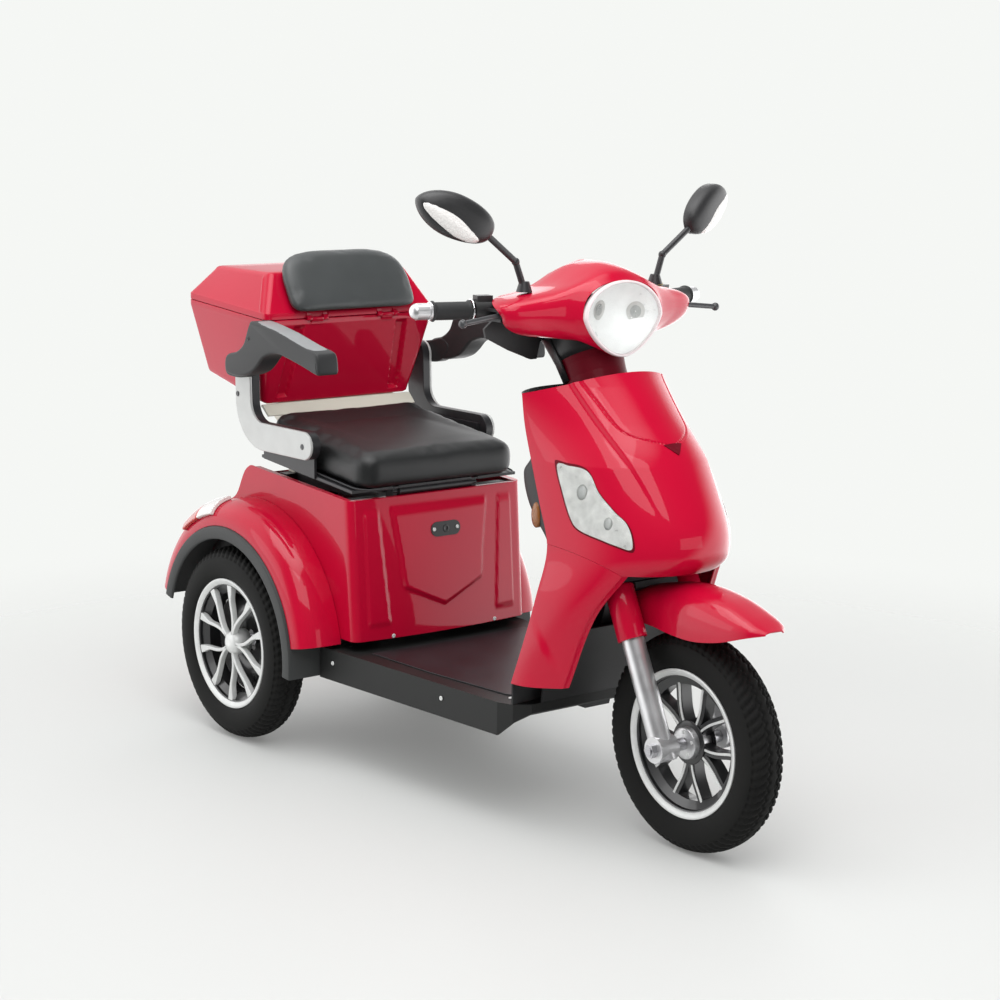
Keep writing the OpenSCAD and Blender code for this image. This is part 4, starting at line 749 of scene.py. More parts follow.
def trunk():
    o = loft("trunk_tub", [
        foot_ring(12, 8, 10, 9, 0), foot_ring(9, 5, 7, 10, 0.6), foot_ring(3, 1.6, 2, 12, 4),
        *between(foot_ring(0, 0, 0, 14, 9), seam_ring(0.6, -13), 40, tub_relief),
        seam_ring(0.6, -13), seam_ring(0, -11), seam_ring(0, -1.6), seam_ring(0.8, -0.6), seam_ring(4, -0.5),
        seam_ring(4, -12), [(min(x, 3), y, z) for x, y, z in seam_ring(4, -16)], foot_ring(4, 13, 4, 10, 11),
        foot_ring(14, 16, 12, 8, 5),
    ], RED, "chassis", replaces=("trunk_base",))
    edge(o, 1.2, 25)
    o = loft("trunk_cover", [
        head_ring(14, 8, 971), head_ring(4, 10, 965), seam_ring(4, 14), seam_ring(4, 0.6),
        seam_ring(0.8, 0.6), seam_ring(0, 1.6), seam_ring(0, 12), seam_ring(0.8, 14.2),
        *between(seam_ring(1.5, 14.5), head_ring(0, 14, 967), 24, lid_relief),
        head_ring(0, 14, 967), head_ring(3, 12, 971.5), head_ring(7, 10, 974), head_ring(12, 8, 974.8),
        head_ring(60, 8, 975),
    ], RED, "trunk_top", replaces=("trunk_lid",))
    edge(o, 1.2, 25)

    def across(u, v, w):
        return (u, w, v)

    lip = [(16.6, 881), (19.4, 881), (20.2, 882), (20.2, 892), (19.4, 893.4), (16.6, 893.4)]
    prism("lid_lip", lip, -62, 124, across, RED, "trunk_top", 0.6)
    knuckle = [(2.2, -14), (3.6, -14), (4, -13.6), (4, 13.6), (3.6, 14), (2.2, 14)]
    leaf = [(17, 868), (19, 868), (19, 873), (22, 873), (23.6, 877), (17.2, 877)]
    strap = [(17.2, 883), (23.6, 883), (22, 887), (19, 887), (19, 892), (17.2, 892)]
    for n, y in enumerate((-90, 90)):
        def place(u, v, w, y=y):
            return (21.6 + u, y + w, 880 + v)
        lathe("hinge_knuckle_%d" % n, knuckle, place, RED, "chassis", 24)
        prism("hinge_leaf_%d" % n, leaf, y - 14, 28, across, RED, "chassis", 0.4)
        for e, (a, b) in enumerate(((-26, -15), (15, 26))):
            pin = [(0, a), (3.6, a), (4, a + 0.4), (4, b - 0.4), (3.6, b), (0, b)]
            lathe("hinge_pin_%d_%d" % (n, e), pin, place, RED, "trunk_top", 24)
            prism("hinge_strap_%d_%d" % (n, e), strap, y + a, b - a, across, RED, "trunk_top", 0.4)


# Wheels

def tread_cut(r, w, turn):
    """Depth of the tread's grooves at a point of the section; turn counts the ribs passed."""
    w = abs(w)
    if r <= 183 or w >= 38:
        return 0
    zigzag = 10 + 2.5 * (abs((turn % 1) - 0.5) * 2 - 0.5) * 2
    if abs(w - zigzag) < 1.6 and r > 196:
        return 4.5
    if w > 16 and r > 185 and (turn + w / 22) % 1 < 0.38:
        return 4
    return 1.4 if w < 7 and turn % 2 < 0.26 and r > 200 else 0


def tyre(name, x, y, body, node):
    steps, ribs, tread, mid_r = 288, 72, 26, 165.25
    side = [(126.5, 29.8), (131, 30.2), (136.8, 30.6)]
    for i in range(1, 9):
        a = -60 + 7.5 * i
        side.append((mid_r + 28 * sin(a), mix(30, 40, cos(a) ** 1.2)))
    for i in range(1, 15):
        a = 90 * i / 22
        side.append((mid_r + 38.75 * sin(a) ** 0.95, 40 * cos(a) ** 0.7))
    top_r, top_w = side[-1]
    crown = []
    for i in range(1, tread):
        w = top_w * (1 - 2 * i / tread)
        crown.append((TYRE_R - (TYRE_R - top_r) * abs(w / top_w) ** 2.2, w))
    inner = [(126.5, -23), (150, -27), (178, -28), (186, -14), (188, 0), (186, 14),
             (178, 28), (150, 27), (126.5, 23)]
    section = side + crown + [(r, -w) for r, w in side[::-1]] + inner
    place = wheel_place(x, y)
    verts = []
    for i in range(steps):
        for r, w in section:
            depth = tread_cut(r, w, i / steps * ribs)
            verts.append(place(*polar(r - depth, 360 * i / steps), w))
    outward(piece(name, verts, grid_faces(steps, len(section), True, True), TYRE, body, replaces=(node,)))


def rim_barrel(name, place, body):
    """The black barrel of a rim, standing for its node, and a bright lip on each side."""
    barrel = [(137, -33), (126, -30.4), (126, -20), (111, -12), (111, 12), (126, 20), (126, 30.4), (137, 33),
              (134, 33), (122.5, 28), (122.5, 21), (107, 13), (107, -13), (122.5, -21), (122.5, -28),
              (134, -33)]
    lip = [(138, 30.8), (138, 34), (136.5, 34.6), (134, 34.4), (128, 32), (125.4, 29.5), (125.4, 27),
           (127, 28), (134.5, 31)]
    edge(lathe(name + "_barrel", barrel, place, SPOKE, body, 128, replaces=(name,)), 0.6)
    for s, tag in ((1, "_lip_a"), (-1, "_lip_b")):
        edge(lathe(name + tag, [(r, s * w) for r, w in lip], place, BRIGHT, body, 128), 0.6)


def spoke_strip(path, half, lift, depth, place, name, mat, body, bevel=1.2):
    """A bar of changing width along a 2-D path, standing out axially."""
    left, right = [], []
    for i, p in enumerate(path):
        a, b = Vector(path[max(0, i - 1)]), Vector(path[min(len(path) - 1, i + 1)])
        d = (b - a).normalized()
        n = Vector((-d.y, d.x))
        w = half(i / (len(path) - 1))
        left.append(tuple(Vector(p) + n * w))
        right.append(tuple(Vector(p) - n * w))
    return prism(name, left + right[::-1], lift, depth, place, mat, body, bevel)


def front_wheel():
    body = "front_wheel"
    tyre("tyre_front", WHEELBASE, 0, body, "front_tyre")
    place = wheel_place(WHEELBASE, 0)
    rim_barrel("front_rim", place, body)
    for k in range(5):
        turn = 54 + 72 * k
        for way in (-1, 1):
            path = [polar(mix(20, 113, i / 14), turn + way * mix(9, 17.5, step(0.25, 1, i / 14)))
                    for i in range(15)]
            spoke_strip(path, lambda t: mix(7.5, 6.5, t), -13, 26, place,
                        "front_spoke_%d_%d" % (k, way), SPOKE, body)
            line = []
            for i in range(13):
                r = mix(28, 112, i / 12)
                a = mix(9, 17.5, step(0.2, 1, (r - 20) / 93)) + 130 / r * mix(0.6, 1.6, i / 12)
                line.append(polar(r, turn + way * a))
            for face, lift in ((1, 12.6), (-1, -14.6)):
                spoke_strip(line, lambda t: mix(2.0, 2.6, t), lift, 2, place,
                            "front_spoke_edge_%d_%d_%d" % (k, way, face), BRIGHT, body, 0.5)
    hub = [(7.6, -29), (24, -29), (29, -27), (30, -24), (30, 24), (29, 27), (24, 29), (7.6, 29)]
    edge(lathe("front_hub", hub, place, ALLOY, body, 64), 1)
    disc = [(14, 22), (40, 22), (41, 23), (41, 25), (40, 26), (14, 26)]
    for s in (-1, 1):
        lathe("front_hub_ring_%d" % s, [(r, s * w * 0.62) for r, w in disc], place, SPOKE, body, 64)
        for b in range(5):
            bolt_head("front_hub_bolt_%d_%d" % (s, b), place, polar(22, 18 + 72 * b), s, body)


def bolt_head(name, place, at, s, body):
    """A bright six-sided bolt head on a hub's face."""
    size, face = 4, 27.5
    rings = [[place(at[0] + size * k * c, at[1] + size * k * v, s * face + s * h) for c, v in circle(6)]
             for k, h in ((1, 0), (1, 1.6), (0.8, 2.4), (0.35, 2.6))]
    edge(loft(name, rings, BRIGHT, body, smooth=False), 0.3)


def rear_wheels():
    cap = [(0, 33), (10, 33), (16, 31.5), (21, 28), (24, 22), (26, 12), (26, -10), (0, -10)]
    drum = [(12.6, -27), (60, -27), (65, -29), (66, -33), (66, -47), (64, -49), (12.6, -49)]
    dish = [(24, -27), (107, -18), (108, -15), (24, -22)]
    shaft = [(0, -181), (12.4, -181), (12.4, -20), (0, -20)]
    for side, tag in ((1, "right"), (-1, "left")):
        body = "rear_wheel_" + tag
        tyre("tyre_rear_" + tag, 0, -side * REAR_Y, body, "rear_tyre_" + tag)
        place = wheel_place(0, -side * REAR_Y, side)
        rim_barrel("rear_rim_" + tag, place, body)
        for k in range(5):
            for way in (-1, 1):
                path = []
                for i in range(19):
                    t = i / 18
                    a = 72 * k + way * (2 + 15.5 * step(0.0, 0.75, t) + 1.5 * t)
                    path.append(polar(mix(18, 126, t), a))
                spoke_strip(path, lambda t: 3.2 + 0.8 * t + 4.6 * step(0.62, 1, t), 16, 12.5, place,
                            "rear_spoke_%s_%d_%d" % (tag, k, way), BRIGHT, body, 1.6)
        lathe("rear_hub_cap_" + tag, cap, place, BRIGHT, body, 64)
        edge(lathe("rear_drum_" + tag, drum, place, SPOKE, body, 96), 1)
        lathe("rear_dish_" + tag, dish, place, SPOKE, body, 96)
        lathe("half_shaft_" + tag, shaft, place, STEEL, body, 48)


# Fork and front fender

FENDER_TOP = [(930, 452), (981, 471), (1050, 489), (1124, 497), (1200, 487), (1260, 467), (1302, 447)]
FENDER_LOW = [(930, 398), (981, 412), (1040, 411), (1150, 408), (1220, 418), (1280, 436), (1302, 441)]
FENDER_HALF = [(930, 46), (981, 49), (1040, 49), (1080, 56), (1150, 62), (1220, 59), (1280, 44), (1302, 22)]


def fender_at(a, x):
    """Point of the front fender at x, a degrees from its ridge."""
    low = curve(FENDER_LOW, x)
    rise = (curve(FENDER_TOP, x) - low) * max(0, cos(a)) ** 0.6
    return (x, curve(FENDER_HALF, x) * power(sin(a), 0.8), low + rise)


def front_fender():
    rows, cols = 90, 64
    grid = [[fender_at(-90 + 180 * j / cols, mix(930, 1302, i / rows)) for j in range(cols + 1)]
            for i in range(rows + 1)]
    sheet("fender_front", grid, RED, "steering", 3, replaces=("front_fender",))
    cover = [(25, 203), (26.6, 203), (27.4, 204.5), (27.4, 300), (26, 303), (23, 304.6), (15.2, 304.6),
             (15.2, 301.6), (23.6, 300)]
    for side, tag in ((-1, "right"), (1, "left")):
        lathe("fork_cover_" + tag, cover, fork_place(side * FORK_Y), RED, "steering", 56)
    bar = [(-14, -52), (14, -52), (14, 52), (-14, 52)]
    prism("fender_stay", bar, 291, 13.6, fork_place(0), BLACK, "steering", 2)


# Handlebar

LAMP_X, LAMP_Z, LAMP_W, LAMP_UP, LAMP_DOWN = 886, 955, 184, 66, 73


def cowl_keys(*values):
    """Keys of a curve at fixed shares of the way from the headlight back."""
    return list(zip((0, 0.15, 0.4, 0.65, 0.85, 1), values))


COWL_HALF = cowl_keys(93, 112, 160, 205, 221, 222)
COWL_MID = cowl_keys(955, 956, 957.5, 957, 956, 955)
COWL_RISE = cowl_keys(67, 66, 52, 46, 42, 38)
COWL_HUMP = cowl_keys(0, 16, 39.5, 49, 52, 47)
COWL_DROP = cowl_keys(74, 68, 52.5, 46, 42, 40)
COWL_SIDE = cowl_keys(884, 871, 851, 835, 822, 812)
COWL_TOP = cowl_keys(886, 868, 836, 797, 758, 730)
COWL_FOOT = cowl_keys(880, 874, 859, 844, 828, 812)


def cowl_at(a, v):
    """Point of the cowl, a degrees round from its left, v from the headlight back."""
    s = sin(a)
    narrow = 1 + 0.28 * s * (1 - v) if s < 0 else 1 + 0.2 * s * v
    y = curve(COWL_HALF, v) * power(cos(a), 1 - v / 2) * narrow
    if s > 0:
        rise = curve(COWL_RISE, v) * s**0.7 + curve(COWL_HUMP, v) * s * math.exp(-(y / 78) ** 2)
    else:
        rise = curve(COWL_DROP, v) * s
    x = mix(curve(COWL_SIDE, v), curve(COWL_TOP if s > 0 else COWL_FOOT, v), s * s)
    return (x, y, curve(COWL_MID, v) + rise)


def lamp_ring(k, x):
    """Outline of the headlight times k, at x."""
    return [(x, k * LAMP_W / 2 * c * (1 + 0.28 * s if s < 0 else 1),
             LAMP_Z + k * (LAMP_UP if s > 0 else LAMP_DOWN) * s) for c, s in circle(96)]


def bowl_x(k):
    return 884 - 34 * (1 - (k / 0.93) ** 2)


def cowl():
    rows, cols = 70, 180
    grid = [[cowl_at(360 * j / cols, i / rows) for j in range(cols)] for i in range(rows + 1)]
    sheet("cowl_panel", grid, RED, "steering", 2.5, wrap=True, replaces=("handlebar_cowl",))
    lining = []
    for i in range(40, rows + 1):
        mid = curve(COWL_MID, i / rows)
        lining.append([(x + 0.6, 0.982 * y, mid + 0.93 * (z - mid)) for x, y, z in grid[i]])
    sheet("cowl_lining", lining, BLACK, "steering", wrap=True)
    back = [(59.5, 698), (62, 698), (68, 740), (86, 812), (83, 812), (65.5, 742)]
    lathe("neck_back", back, fork_place(0), BLACK, "steering", 60, 98, 164)
    # Black collar closing the gap between the neck and the cowl; its black also stands in for the shadow band
    # under the cowl, painted shade.
    collar = [(60, 738), (63, 738), (68, 750), (80, 806), (40, 806), (40, 800), (60, 760)]
    lathe("neck_shadow_collar", collar, fork_place(0), BLACK, "steering", 72)
    bezel = [lamp_ring(k, x) for k, x in (
        (1.0, 880), (1.012, 884), (1.01, 890), (0.99, 892.5), (0.955, 892.5), (0.93, 890.5), (0.915, 886),
        (0.915, 881))]
    outward(sheet("headlight_bezel", bezel + bezel[:1], WHITE, "steering", wrap=True))
    bowl = [lamp_ring(k, bowl_x(k)) for k in (0.93 * (1 - i / 18.02) for i in range(19))]
    outward(sheet("headlight_bowl", bowl, BOWL, "steering", wrap=True, replaces=("headlight_reflector",)))
    for n, (y, z, r) in enumerate(((-40, 967, 17), (42, 960, 17), (-33, 927, 13))):
        for part, size, lift, mat in (("cup", 1, 0.8, PRISM), ("bulb", 0.6, 1.6, CUP)):
            rings = []
            for k in (1, 0.7, 0.4, 0.1):
                ring = []
                for c, s in circle(24):
                    p, q = y + r * size * k * c, z + r * size * k * s
                    out = math.hypot(p / (LAMP_W / 2), (q - LAMP_Z) / (LAMP_UP if q > LAMP_Z else LAMP_DOWN))
                    ring.append((bowl_x(out) + lift, p, q))
                rings.append(ring)
            outward(sheet("headlight_%s_%d" % (part, n), rings, mat, "steering", wrap=True))
    glass = [lamp_ring(k, LAMP_X + 4 + 20 * (1 - k**2))
             for k in (0.02, 0.15, 0.3, 0.45, 0.6, 0.72, 0.82, 0.9, 0.955)]
    outward(sheet("headlight_glass", glass, CLEAR, "steering", wrap=True, replaces=("headlight_lens",)))


def grips():
    section = [(11.1, 52), (18, 52), (19, 53), (19, 55.2), (18, 56)]
    section += [(16.2 + 0.35 * (i % 2), 57 + 64 * i / 32) for i in range(33)]
    section += [(18, 122), (19, 123), (19, 125), (18, 126), (11.1, 126)]
    collar = [(17.2, 48.6), (20.6, 48.6), (21.4, 49.4), (21.4, 51), (20.6, 51.6), (17.2, 51.6)]
    for (side, tag), body, node in zip(BOTH, ("steering", "throttle"), ("grip_left", "throttle_grip")):
        lathe("grip_" + tag, section, grip_place(side), RUBBER, body, 64, replaces=(node,))
        lathe("grip_collar_" + tag, collar, grip_place(side), CHROME, "steering", 64)


def mirrors():
    ball = Vector((795, 248, 1107))
    along = Vector((-52, 137, 64)).normalized()
    up = (Vector((0, 0, 1)) - along * along.z).normalized()
    face = along.cross(up)

    def leaf(k, depth, side):
        """Outline of a mirror head times k, pointed at its outer end."""
        pts = []
        for c, s in circle(64):
            w = 39 * power(s, 1.25 if c > 0 else 0.8)
            pts.append(on_side(ball + along * (66 + k * 76 * c) + up * (6 + k * w) + face * depth, side))
        return pts

    def strip(k, side):
        """Outline of the pale strip on a mirror's back times k, crowned."""
        depth = 12.5 + 16.5 * (1 - k**2) ** 0.5
        pts = []
        for c, s in circle(48):
            w = 21 * power(s, 1.1)
            p = ball + along * (72 + k * 62 * c) + up * (-6 + k * w + 0.16 * k * 62 * c) + face * depth
            pts.append(on_side(p, side))
        return pts

    shell = ((0.93, -9), (0.975, -10.8), (1, -8.5), (1, 5), (0.98, 9), (0.92, 14.5), (0.82, 19), (0.68, 22.5),
             (0.5, 24.8), (0.3, 25.8), (0.1, 26))
    glass = ((0.92, -9.4), (0.91, -10), (0.4, -10.1))
    for side, tag in BOTH:
        body = "mirror_" + tag
        loft("mirror_shell_" + tag, [leaf(k, d, side) for k, d in shell], BLACK, body,
             replaces=("mirror_head_" + tag,))
        loft("mirror_glass_" + tag, [leaf(k, d, side) for k, d in glass], GLASS, body)
        strips = [strip(k, side) for k in (1.0, 0.97, 0.9, 0.75, 0.5, 0.25, 0.05)]
        loft("mirror_signal_" + tag, strips, FROST, body)


# Seat, armrests and footboard

def bracket_line():
    """Side outline of an arm bracket as (x, z)."""
    corner, foot_end, hinge = Vector((-40, 641)), Vector((185, 643)), Vector((-44, 780))
    foot = math.degrees(math.atan2(*(foot_end - corner).yx))
    leg = math.degrees(math.atan2(*(hinge - corner).yx))
    bend, half = 72, 29
    reach = bend / math.tan(math.radians((leg - foot) / 2))
    c = corner + reach * Vector((cos(foot), sin(foot))) + bend * Vector((-sin(foot), cos(foot)))

    def arc(p, r, a0, a1, n):
        return [(p.x + r * cos(mix(a0, a1, i / n)), p.y + r * sin(mix(a0, a1, i / n))) for i in range(n + 1)]
    return (arc(foot_end, half, foot - 90, foot + 90, 24) + arc(c, bend - half, foot - 90, leg - 270, 18)
            + arc(hinge, half, leg - 90, leg + 90, 24) + arc(c, bend + half, leg - 270, foot - 90, 24))


ARM_LINE = [(-29, 786), (-28, 803), (-17, 814), (15, 822), (41, 839), (53, 860), (64, 881), (75, 889),
            (122, 883), (181, 873), (255, 856), (300, 848), (313, 840), (318, 820), (317, 806), (306, 804),
            (255, 816), (205, 826), (170, 831), (143, 828), (117, 818), (94, 798), (70, 783),
            (28, 772), (-17, 773)]
KNUCKLE_LINE = [(-66, 772), (-67, 790), (-56, 804), (-20, 811), (20, 819), (44, 800), (8, 767), (-50, 763)]


def pillow(name, line, lift, depth, r, place, mat, body, steps=150, **kw):
    """A smooth closed outline pushed along its third axis, with rounded rims."""
    pts = [Vector(outline_at(line, i / steps)) for i in range(steps)]
    area = sum(a.x * b.y - b.x * a.y for a, b in zip(pts, pts[1:] + pts[:1]))
    side = []
    for i in range(steps):
        d = (pts[(i + 2) % steps] - pts[i - 2]).normalized()
        side.append(Vector((-d.y, d.x)) * math.copysign(1, area))
    roll = [(r * (1 - sin(15 * k)), r * (1 - cos(15 * k))) for k in range(7)]
    rings = [(i, lift + w) for i, w in roll] + [(i, lift + depth - w) for i, w in roll[::-1]]
    verts = [place(*(p + q * i), w) for i, w in rings for p, q in zip(pts, side)]
    faces = grid_faces(len(rings), steps, True)
    faces += [tuple(range(steps)), tuple(range((len(rings) - 1) * steps, len(rings) * steps))[::-1]]
    outward(piece(name, verts, faces, mat, body, **kw))


def armrests():
    top = [(78, 889.6), (122, 883.8), (181, 873.6), (255, 856.6), (304, 847.4)]
    rows, cols = 40, 12
    for side, tag in BOTH:
        def place(u, v, w, side=side):
            return (u, side * w, v)
        arm = "arm_" + tag
        prism("arm_steel_" + tag, bracket_line(), 212, 17.6, place, POWDER, "seat", 1,
              replaces=("arm_brackets",) if side == 1 else ())
        prism("arm_cover_" + tag, bracket_line(), 229.8, 6.2, place, ARM_SILVER, "seat", 2)
        for x, z in ((182, 641), (-62, 722)):
            screw("arm_screw_%s_%d" % (tag, x), place(x, z, 236), (0, side, 0), 6, "seat", LEVER)
        pillow("arm_pad_" + tag, ARM_LINE, 238, 50, 6, place, DARK, arm, replaces=("armrest_" + tag,))
        pillow("arm_knuckle_" + tag, KNUCKLE_LINE, 236.8, 27, 4, place, DARK, arm, 80)
        grid = []
        for i in range(rows + 1):
            f = i / rows * 3.9999
            x, z = (mix(a, b, f % 1) for a, b in zip(top[int(f)], top[int(f) + 1]))
            swell = 1.6 * (1 - abs(2 * i / rows - 1) ** 6)
            grid.append([place(x, z + swell * (1 - abs(2 * j / cols - 1) ** 6) - 0.8, mix(242, 284, j / cols))
                         for j in range(cols + 1)])
        outward(sheet("arm_insert_" + tag, grid, INSERT_PAINTED_HIGHLIGHT, arm))
        screw("arm_bolt_" + tag, place(64, 853, 287.6), (0, side, 0), 4.5, arm, BLACK)


def seat_ring(grow, z):
    """Rounded outline of the cushion at height z, widened by grow; its rear is narrower."""
    n = 14
    half, r = 202 + grow, max(6, 40 + grow)
    pts = []
    for c in range(4):
        x, h = (344 + grow - r, half) if c in (0, 3) else (-24 - grow + r, half - 4)
        y = h - r if c < 2 else r - h
        for i in range(n):
            u, v = polar(r, 90 * (c + i / (n - 1)))
            pts.append((x + u, y + v, z))
    return pts


def inflate(o, voxel, cap, base, pressure=4.0):
    """Fill a pad by a pressed cloth simulation and apply the result.

    Points move by up to cap, in metres, and not towards base, where the pad rests.
    """
    frames = 20
    remesh = o.modifiers.new("remesh", "REMESH")
    remesh.mode = "VOXEL"
    remesh.voxel_size = voxel
    bpy.context.view_layer.objects.active = o
    bpy.ops.object.select_all(action="DESELECT")
    o.select_set(True)
    bpy.ops.object.modifier_apply(modifier="remesh")
    rest = [v.co.copy() for v in o.data.vertices]
    cloth = o.modifiers.new("cloth", "CLOTH")
    for key, value in {
        "quality": 4, "mass": 0.3, "use_pressure": True, "uniform_pressure_force": pressure,
        "tension_stiffness": 20, "compression_stiffness": 20, "bending_stiffness": 4,
    }.items():
        setattr(cloth.settings, key, value)
    cloth.settings.effector_weights.gravity = 0
    cloth.collision_settings.use_collision = False
    cloth.point_cache.frame_start = 1
    cloth.point_cache.frame_end = frames
    scene = bpy.context.scene
    for f in range(1, frames + 1):
        scene.frame_set(f)
    bpy.ops.object.modifier_apply(modifier="cloth")
    scene.frame_set(1)
    for v, r in zip(o.data.vertices, rest):
        d = v.co - r
        d -= base * max(0, d.dot(base))
        v.co = r + d * min(1, cap / max(d.length, 1e-9))
    for p in o.data.polygons:
        p.use_smooth = True
    even = o.modifiers.new("even", "SMOOTH")
    even.factor = 0.5
    even.iterations = 5
    sub = o.modifiers.new("smooth", "SUBSURF")
    sub.levels = sub.render_levels = 1


SEAT_LEAN = 5


def lean(p):
    """Seat points turned back about the seat's hinge, along the top of its box."""
    hinge_x, hinge_z = 313, 556
    x, z = p[0] - hinge_x, p[2] - hinge_z
    c, s = polar(1, SEAT_LEAN)
    return (hinge_x + x * c + z * s, p[1], hinge_z - x * s + z * c)


def seat_cushion():
    def back_roll(p):
        return (p[0], p[1], p[2] + 25 * step(70, -20, p[0]) * step(600, 625, p[2]))

    shape = ((-17, 571), (-7, 572.5), (-1, 584), (-1.5, 603), (-3, 617), (-8, 627), (-17, 632), (-36, 636),
             (-90, 638.5))
    rings = [[back_roll(lean(p)) for p in seat_ring(g, z)] for g, z in shape]
    o = loft("seat_pad", rings, LEATHER, "seat", replaces=("seat_cushion",))
    inflate(o, 0.006, 0.006, Vector((-sin(SEAT_LEAN), 0, -cos(SEAT_LEAN))))
    sew("seat_piping", [lean(p) for p in seat_ring(-1.5, 572)], 1.8, "seat")


def sew(name, line, radius, body):
    """A closed round cord of thread along points."""
    n, sides = len(line), 8
    verts = []
    for i, p in enumerate(line):
        d = (Vector(line[(i + 1) % n]) - Vector(line[i - 1])).normalized()
        u = d.orthogonal().normalized()
        if abs(d.z) < 0.9:
            u = (Vector((0, 0, 1)) - d * d.z).normalized()
        w = d.cross(u)
        verts += [tuple(Vector(p) + (u * c + w * s) * radius) for c, s in circle(sides)]
    outward(piece(name, verts, grid_faces(n, sides, True, True), THREAD, body))


def lid_face(z):
    """Place of the lid's sloping front at height z."""
    return mix(17, -27, (z - 894) / 73) + 0.3


def pad_ring(grow, depth):
    """Outline of the backrest on the lid's front: square below, rounder above."""
    pts = []
    for c, s in circle(96):
        square = 0.22 if s < 0 else 0.55
        c, s = power(c, square), power(s, square)
        z = 958 + s * ((65 if s < 0 else 61) + grow)
        pts.append((lid_face(z) + depth, c * (160 - 14 * max(0, s) + grow), z))
    return pts


def backrest():
    shape = ((-12, 2), (-6, 5), (-2, 11), (-1.5, 18), (-5, 26), (-12, 31), (-30, 33.5), (-48, 34.5))
    o = loft("back_pad", [pad_ring(g, d) for g, d in shape], PAD_PAINTED_SHEEN, "trunk_top", replaces=("backrest_pad",))
    inflate(o, 0.005, 0.0025, Vector((-73, 0, -44)).normalized(), 2.5)


def floor():
    half = [(372, 196), (560, 190), (770, 170), (812, 150)]
    line = [(x, -y) for x, y in half] + half[::-1]
    prism("mat_sheet", line, 242.1, 2.4, lambda u, v, w: (u, v, w), MAT, "chassis", 1.2,
          replaces=("floor_mat",))


def screw(name, p, n, r, body, mat=BRIGHT):
    """A round screw head at p, facing along n."""
    n = Vector(n).normalized()
    u = n.orthogonal().normalized()
    w = n.cross(u)
    rings = [[tuple(Vector(p) + (u * c + w * s) * (r * k) + n * h) for c, s in circle(15)]
             for k, h in ((1, -0.3), (1, 0.5), (0.85, 1.3), (0.5, 1.8), (0.42, 1.2), (0.1, 1.2))]
    loft(name, rings, mat, body)


def springs():
    turns, steps = 8, 8 * 28
    for side, tag in BOTH:
        path = []
        for i in range(steps + 1):
            u, v = polar(25, 360 * turns * i / steps)
            path.append((-45 + u, side * 120 + side * v, mix(271.4, 436.6, i / steps)))
        o = pipe("coil_" + tag, path, 3.4, SPRING, None, 10, replaces=("shock_springs",) if side == 1 else ())
        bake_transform(o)


def details():
    for k, y in enumerate((-130, 130)):
        screw("box_screw_%d" % k, (354.2, y, 267), (1, 0, 0), 4.5, "chassis")
    for k, (x, y) in enumerate(((300, 243), (640, 224))):
        for s in (-1, 1):
            screw("board_screw_%d_%d" % (k, s), (x, s * (y - 0.6), 215), (0.05, s, 0), 4.5, "chassis")
    for k, y in enumerate((-176, 176)):
        screw("floor_screw_%d" % k, (795, y, 242.6), (0, 0, 1), 5, "chassis")
    for k, y in enumerate((-22, 37)):
        screw("socket_screw_%d" % k, (344.6, y, 473), (1, 0, 0.1), 4.2, "chassis")
    screw("socket_well", (343.2, 8, 472.4), (1, 0, 0.1), 9, "chassis", BLACK)


def carried():
    dress(POWDER, "main_frame", "seat_frame", "swing_arms", "seat_pan", "mirror_stalks", "steering_stem")
    dress(PALE, "trunk_rack")
    dress(BOARD, "footboard")
    dress(BLACK, "wheel_well_liner", "charge_socket", "dashboard", "switch_housings")
    dress(RED, "tail_panel")
    dress(DEEP, "neck_cover")
    dress(CASE, "battery_pack")
    dress(ALLOY, "controller", "fork_sliders", "motor_axle", "bar_ends")
    dress(STEEL, "head_bearings", "front_axle", "shock_bodies", "ignition_key")
    dress(CHROME, "fork_stanchions", "shock_rods")
    dress(LEVER, "brake_lever_right", "brake_lever_left")
    dress(HORN, "horn_button")


# Stage and camera

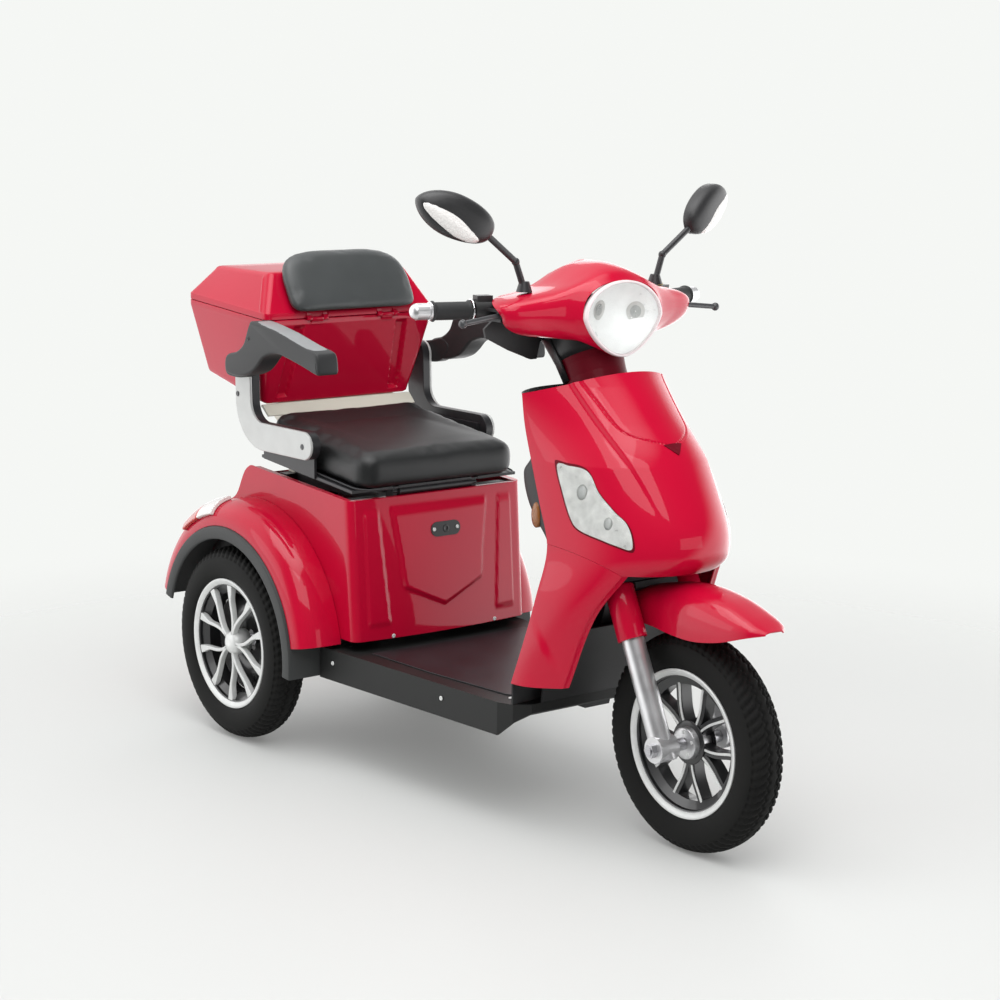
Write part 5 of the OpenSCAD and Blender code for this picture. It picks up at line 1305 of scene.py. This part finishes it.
def stage():
    """The floor, the studio's light for each kind of ray, and the lamps."""
    collection = bpy.context.scene.collection.objects
    mesh = bpy.data.meshes.new("ground")
    radius, sides, sink = 14, 64, -0.0005
    mesh.from_pydata([(radius * c, radius * s, sink) for c, s in circle(sides)], [], [tuple(range(sides))])
    ground = bpy.data.objects.new("ground", mesh)
    collection.link(ground)
    m = bpy.data.materials.new("ground")
    tree = empty_tree(m)
    base = add_node(tree, "BsdfPrincipled", {
        "Base Color": (0.56, 0.57, 0.56, 1), "Emission Color": (1, 1, 0.98, 1), "Emission Strength": 0.13,
        "Roughness": 0.6})
    where = add_node(tree, "TexCoord", {}).outputs["Object"]
    away = add_node(tree, "VectorMath", {0: where}, operation="LENGTH").outputs["Value"]
    fade = add_node(tree, "MapRange", {"Value": away, "From Min": 0.9, "From Max": 2.4},
                    interpolation_type="SMOOTHSTEP")
    clear = add_node(tree, "BsdfTransparent", {})
    blend = add_node(tree, "MixShader", {0: fade.outputs[0], 1: base.outputs[0], 2: clear.outputs[0]})
    add_node(tree, "OutputMaterial", {0: blend.outputs[0]})
    mesh.materials.append(m)

    world = bpy.data.worlds.new("studio")
    bpy.context.scene.world = world
    tree = empty_tree(world)

    def combine(kind, *inputs):
        return add_node(tree, "Math", dict(enumerate(inputs)), operation=kind).outputs[0]

    def ramp(value, low, high, dark, bright):
        return add_node(tree, "MapRange", {
            "Value": value, "From Min": low, "From Max": high, "To Min": dark, "To Max": bright},
            interpolation_type="SMOOTHSTEP").outputs[0]

    def glow(colour, strength):
        return add_node(tree, "Background", {"Color": (*colour, 1), "Strength": strength}).outputs[0]

    def choose(share, a, b):
        return add_node(tree, "MixShader", {0: share, 1: a, 2: b}).outputs[0]

    toward = add_node(tree, "TexCoord", {}).outputs["Generated"]
    split = add_node(tree, "SeparateXYZ", {0: toward})
    x, y, z = (split.outputs[k] for k in "XYZ")
    behind = combine("MULTIPLY", ramp(x, 0.25, -0.5, 0.04, 1.9), ramp(y, 0.6, -0.3, 0.4, 1))
    sideways = ramp(combine("MULTIPLY_ADD", z, -1, y), 0.25, 0.85, 0, 2.8)
    above = ramp(z, 0.84, 0.97, 0, 3)
    path = add_node(tree, "LightPath", {})
    mirrored = glow((1, 1, 1), combine("MAXIMUM", combine("MAXIMUM", behind, sideways), above))
    lit = choose(path.outputs["Is Glossy Ray"], glow((1, 1, 1), 0.74), mirrored)
    direct = combine("MAXIMUM", path.outputs["Is Camera Ray"], path.outputs["Is Transmission Ray"])
    add_node(tree, "OutputWorld", {0: choose(direct, lit, glow((0.915, 0.93, 0.908), 1.0))})

    for name, at, look, size, watts in (
        ("top", (0.2, -0.6, 3.4), (0, 0, 0.4), (2.6, 2.0), 42),
        ("key", (2.0, -1.4, 3.0), (0.2, 0, 0.6), (2.2, 1.8), 38),
        ("front", (4.6, 0.7, 0.9), (0, 0, 0.6), (3.0, 1.5), 20),
        ("fill", (-1.6, -3.2, 1.6), (0, 0, 0.6), (2.2, 1.8), 14),
        ("rim", (-2.4, 2.4, 2.2), (0, 0, 0.6), (1.4, 1.4), 12),
    ):
        light = bpy.data.lights.new(name, "AREA")
        light.energy = watts
        light.shape = "RECTANGLE"
        light.size, light.size_y = size
        lamp = bpy.data.objects.new(name, light)
        collection.link(lamp)
        lamp.location = at
        lamp.rotation_euler = (Vector(look) - Vector(at)).to_track_quat("-Z", "Y").to_euler()


def camera():
    """The camera fitted to the photo, with its pixels for the focal length and the picture's middle."""
    turn, rise, roll = (math.radians(v) for v in (51.31, 11.27, 0.79))
    focal, mid_x, mid_y, picture = 2276.5, 511.95, 533.22, 1000
    aim, distance = Vector((0.0615, 0, 0.5)), 4.4851
    back = Vector((math.sin(turn) * math.cos(rise), -math.cos(turn) * math.cos(rise), math.sin(rise)))
    right = Vector((math.cos(turn), math.sin(turn), 0))
    up = back.cross(right)
    right, up = right * math.cos(roll) + up * math.sin(roll), up * math.cos(roll) - right * math.sin(roll)
    cam = bpy.data.cameras.new("camera")
    cam.sensor_width = 36
    cam.lens = focal / picture * 36
    cam.shift_x = (picture / 2 - mid_x) / picture
    cam.shift_y = (mid_y - picture / 2) / picture
    o = bpy.data.objects.new("camera", cam)
    axes = Matrix((right, up, back)).transposed().to_4x4()
    o.matrix_world = Matrix.Translation(aim + back * distance) @ axes
    bpy.context.scene.collection.objects.link(o)
    bpy.context.scene.camera = o


bpy.context.scene.view_settings.view_transform = "Standard"
for build in (
    camera, stage, carried, front_shield, signal_lenses, leg_panels, inner_leg_shield, seat_box,
    rear_fenders, trunk, front_wheel, rear_wheels, front_fender, cowl, grips, mirrors, armrests,
    seat_cushion, backrest, floor, springs, details,
):
    build()
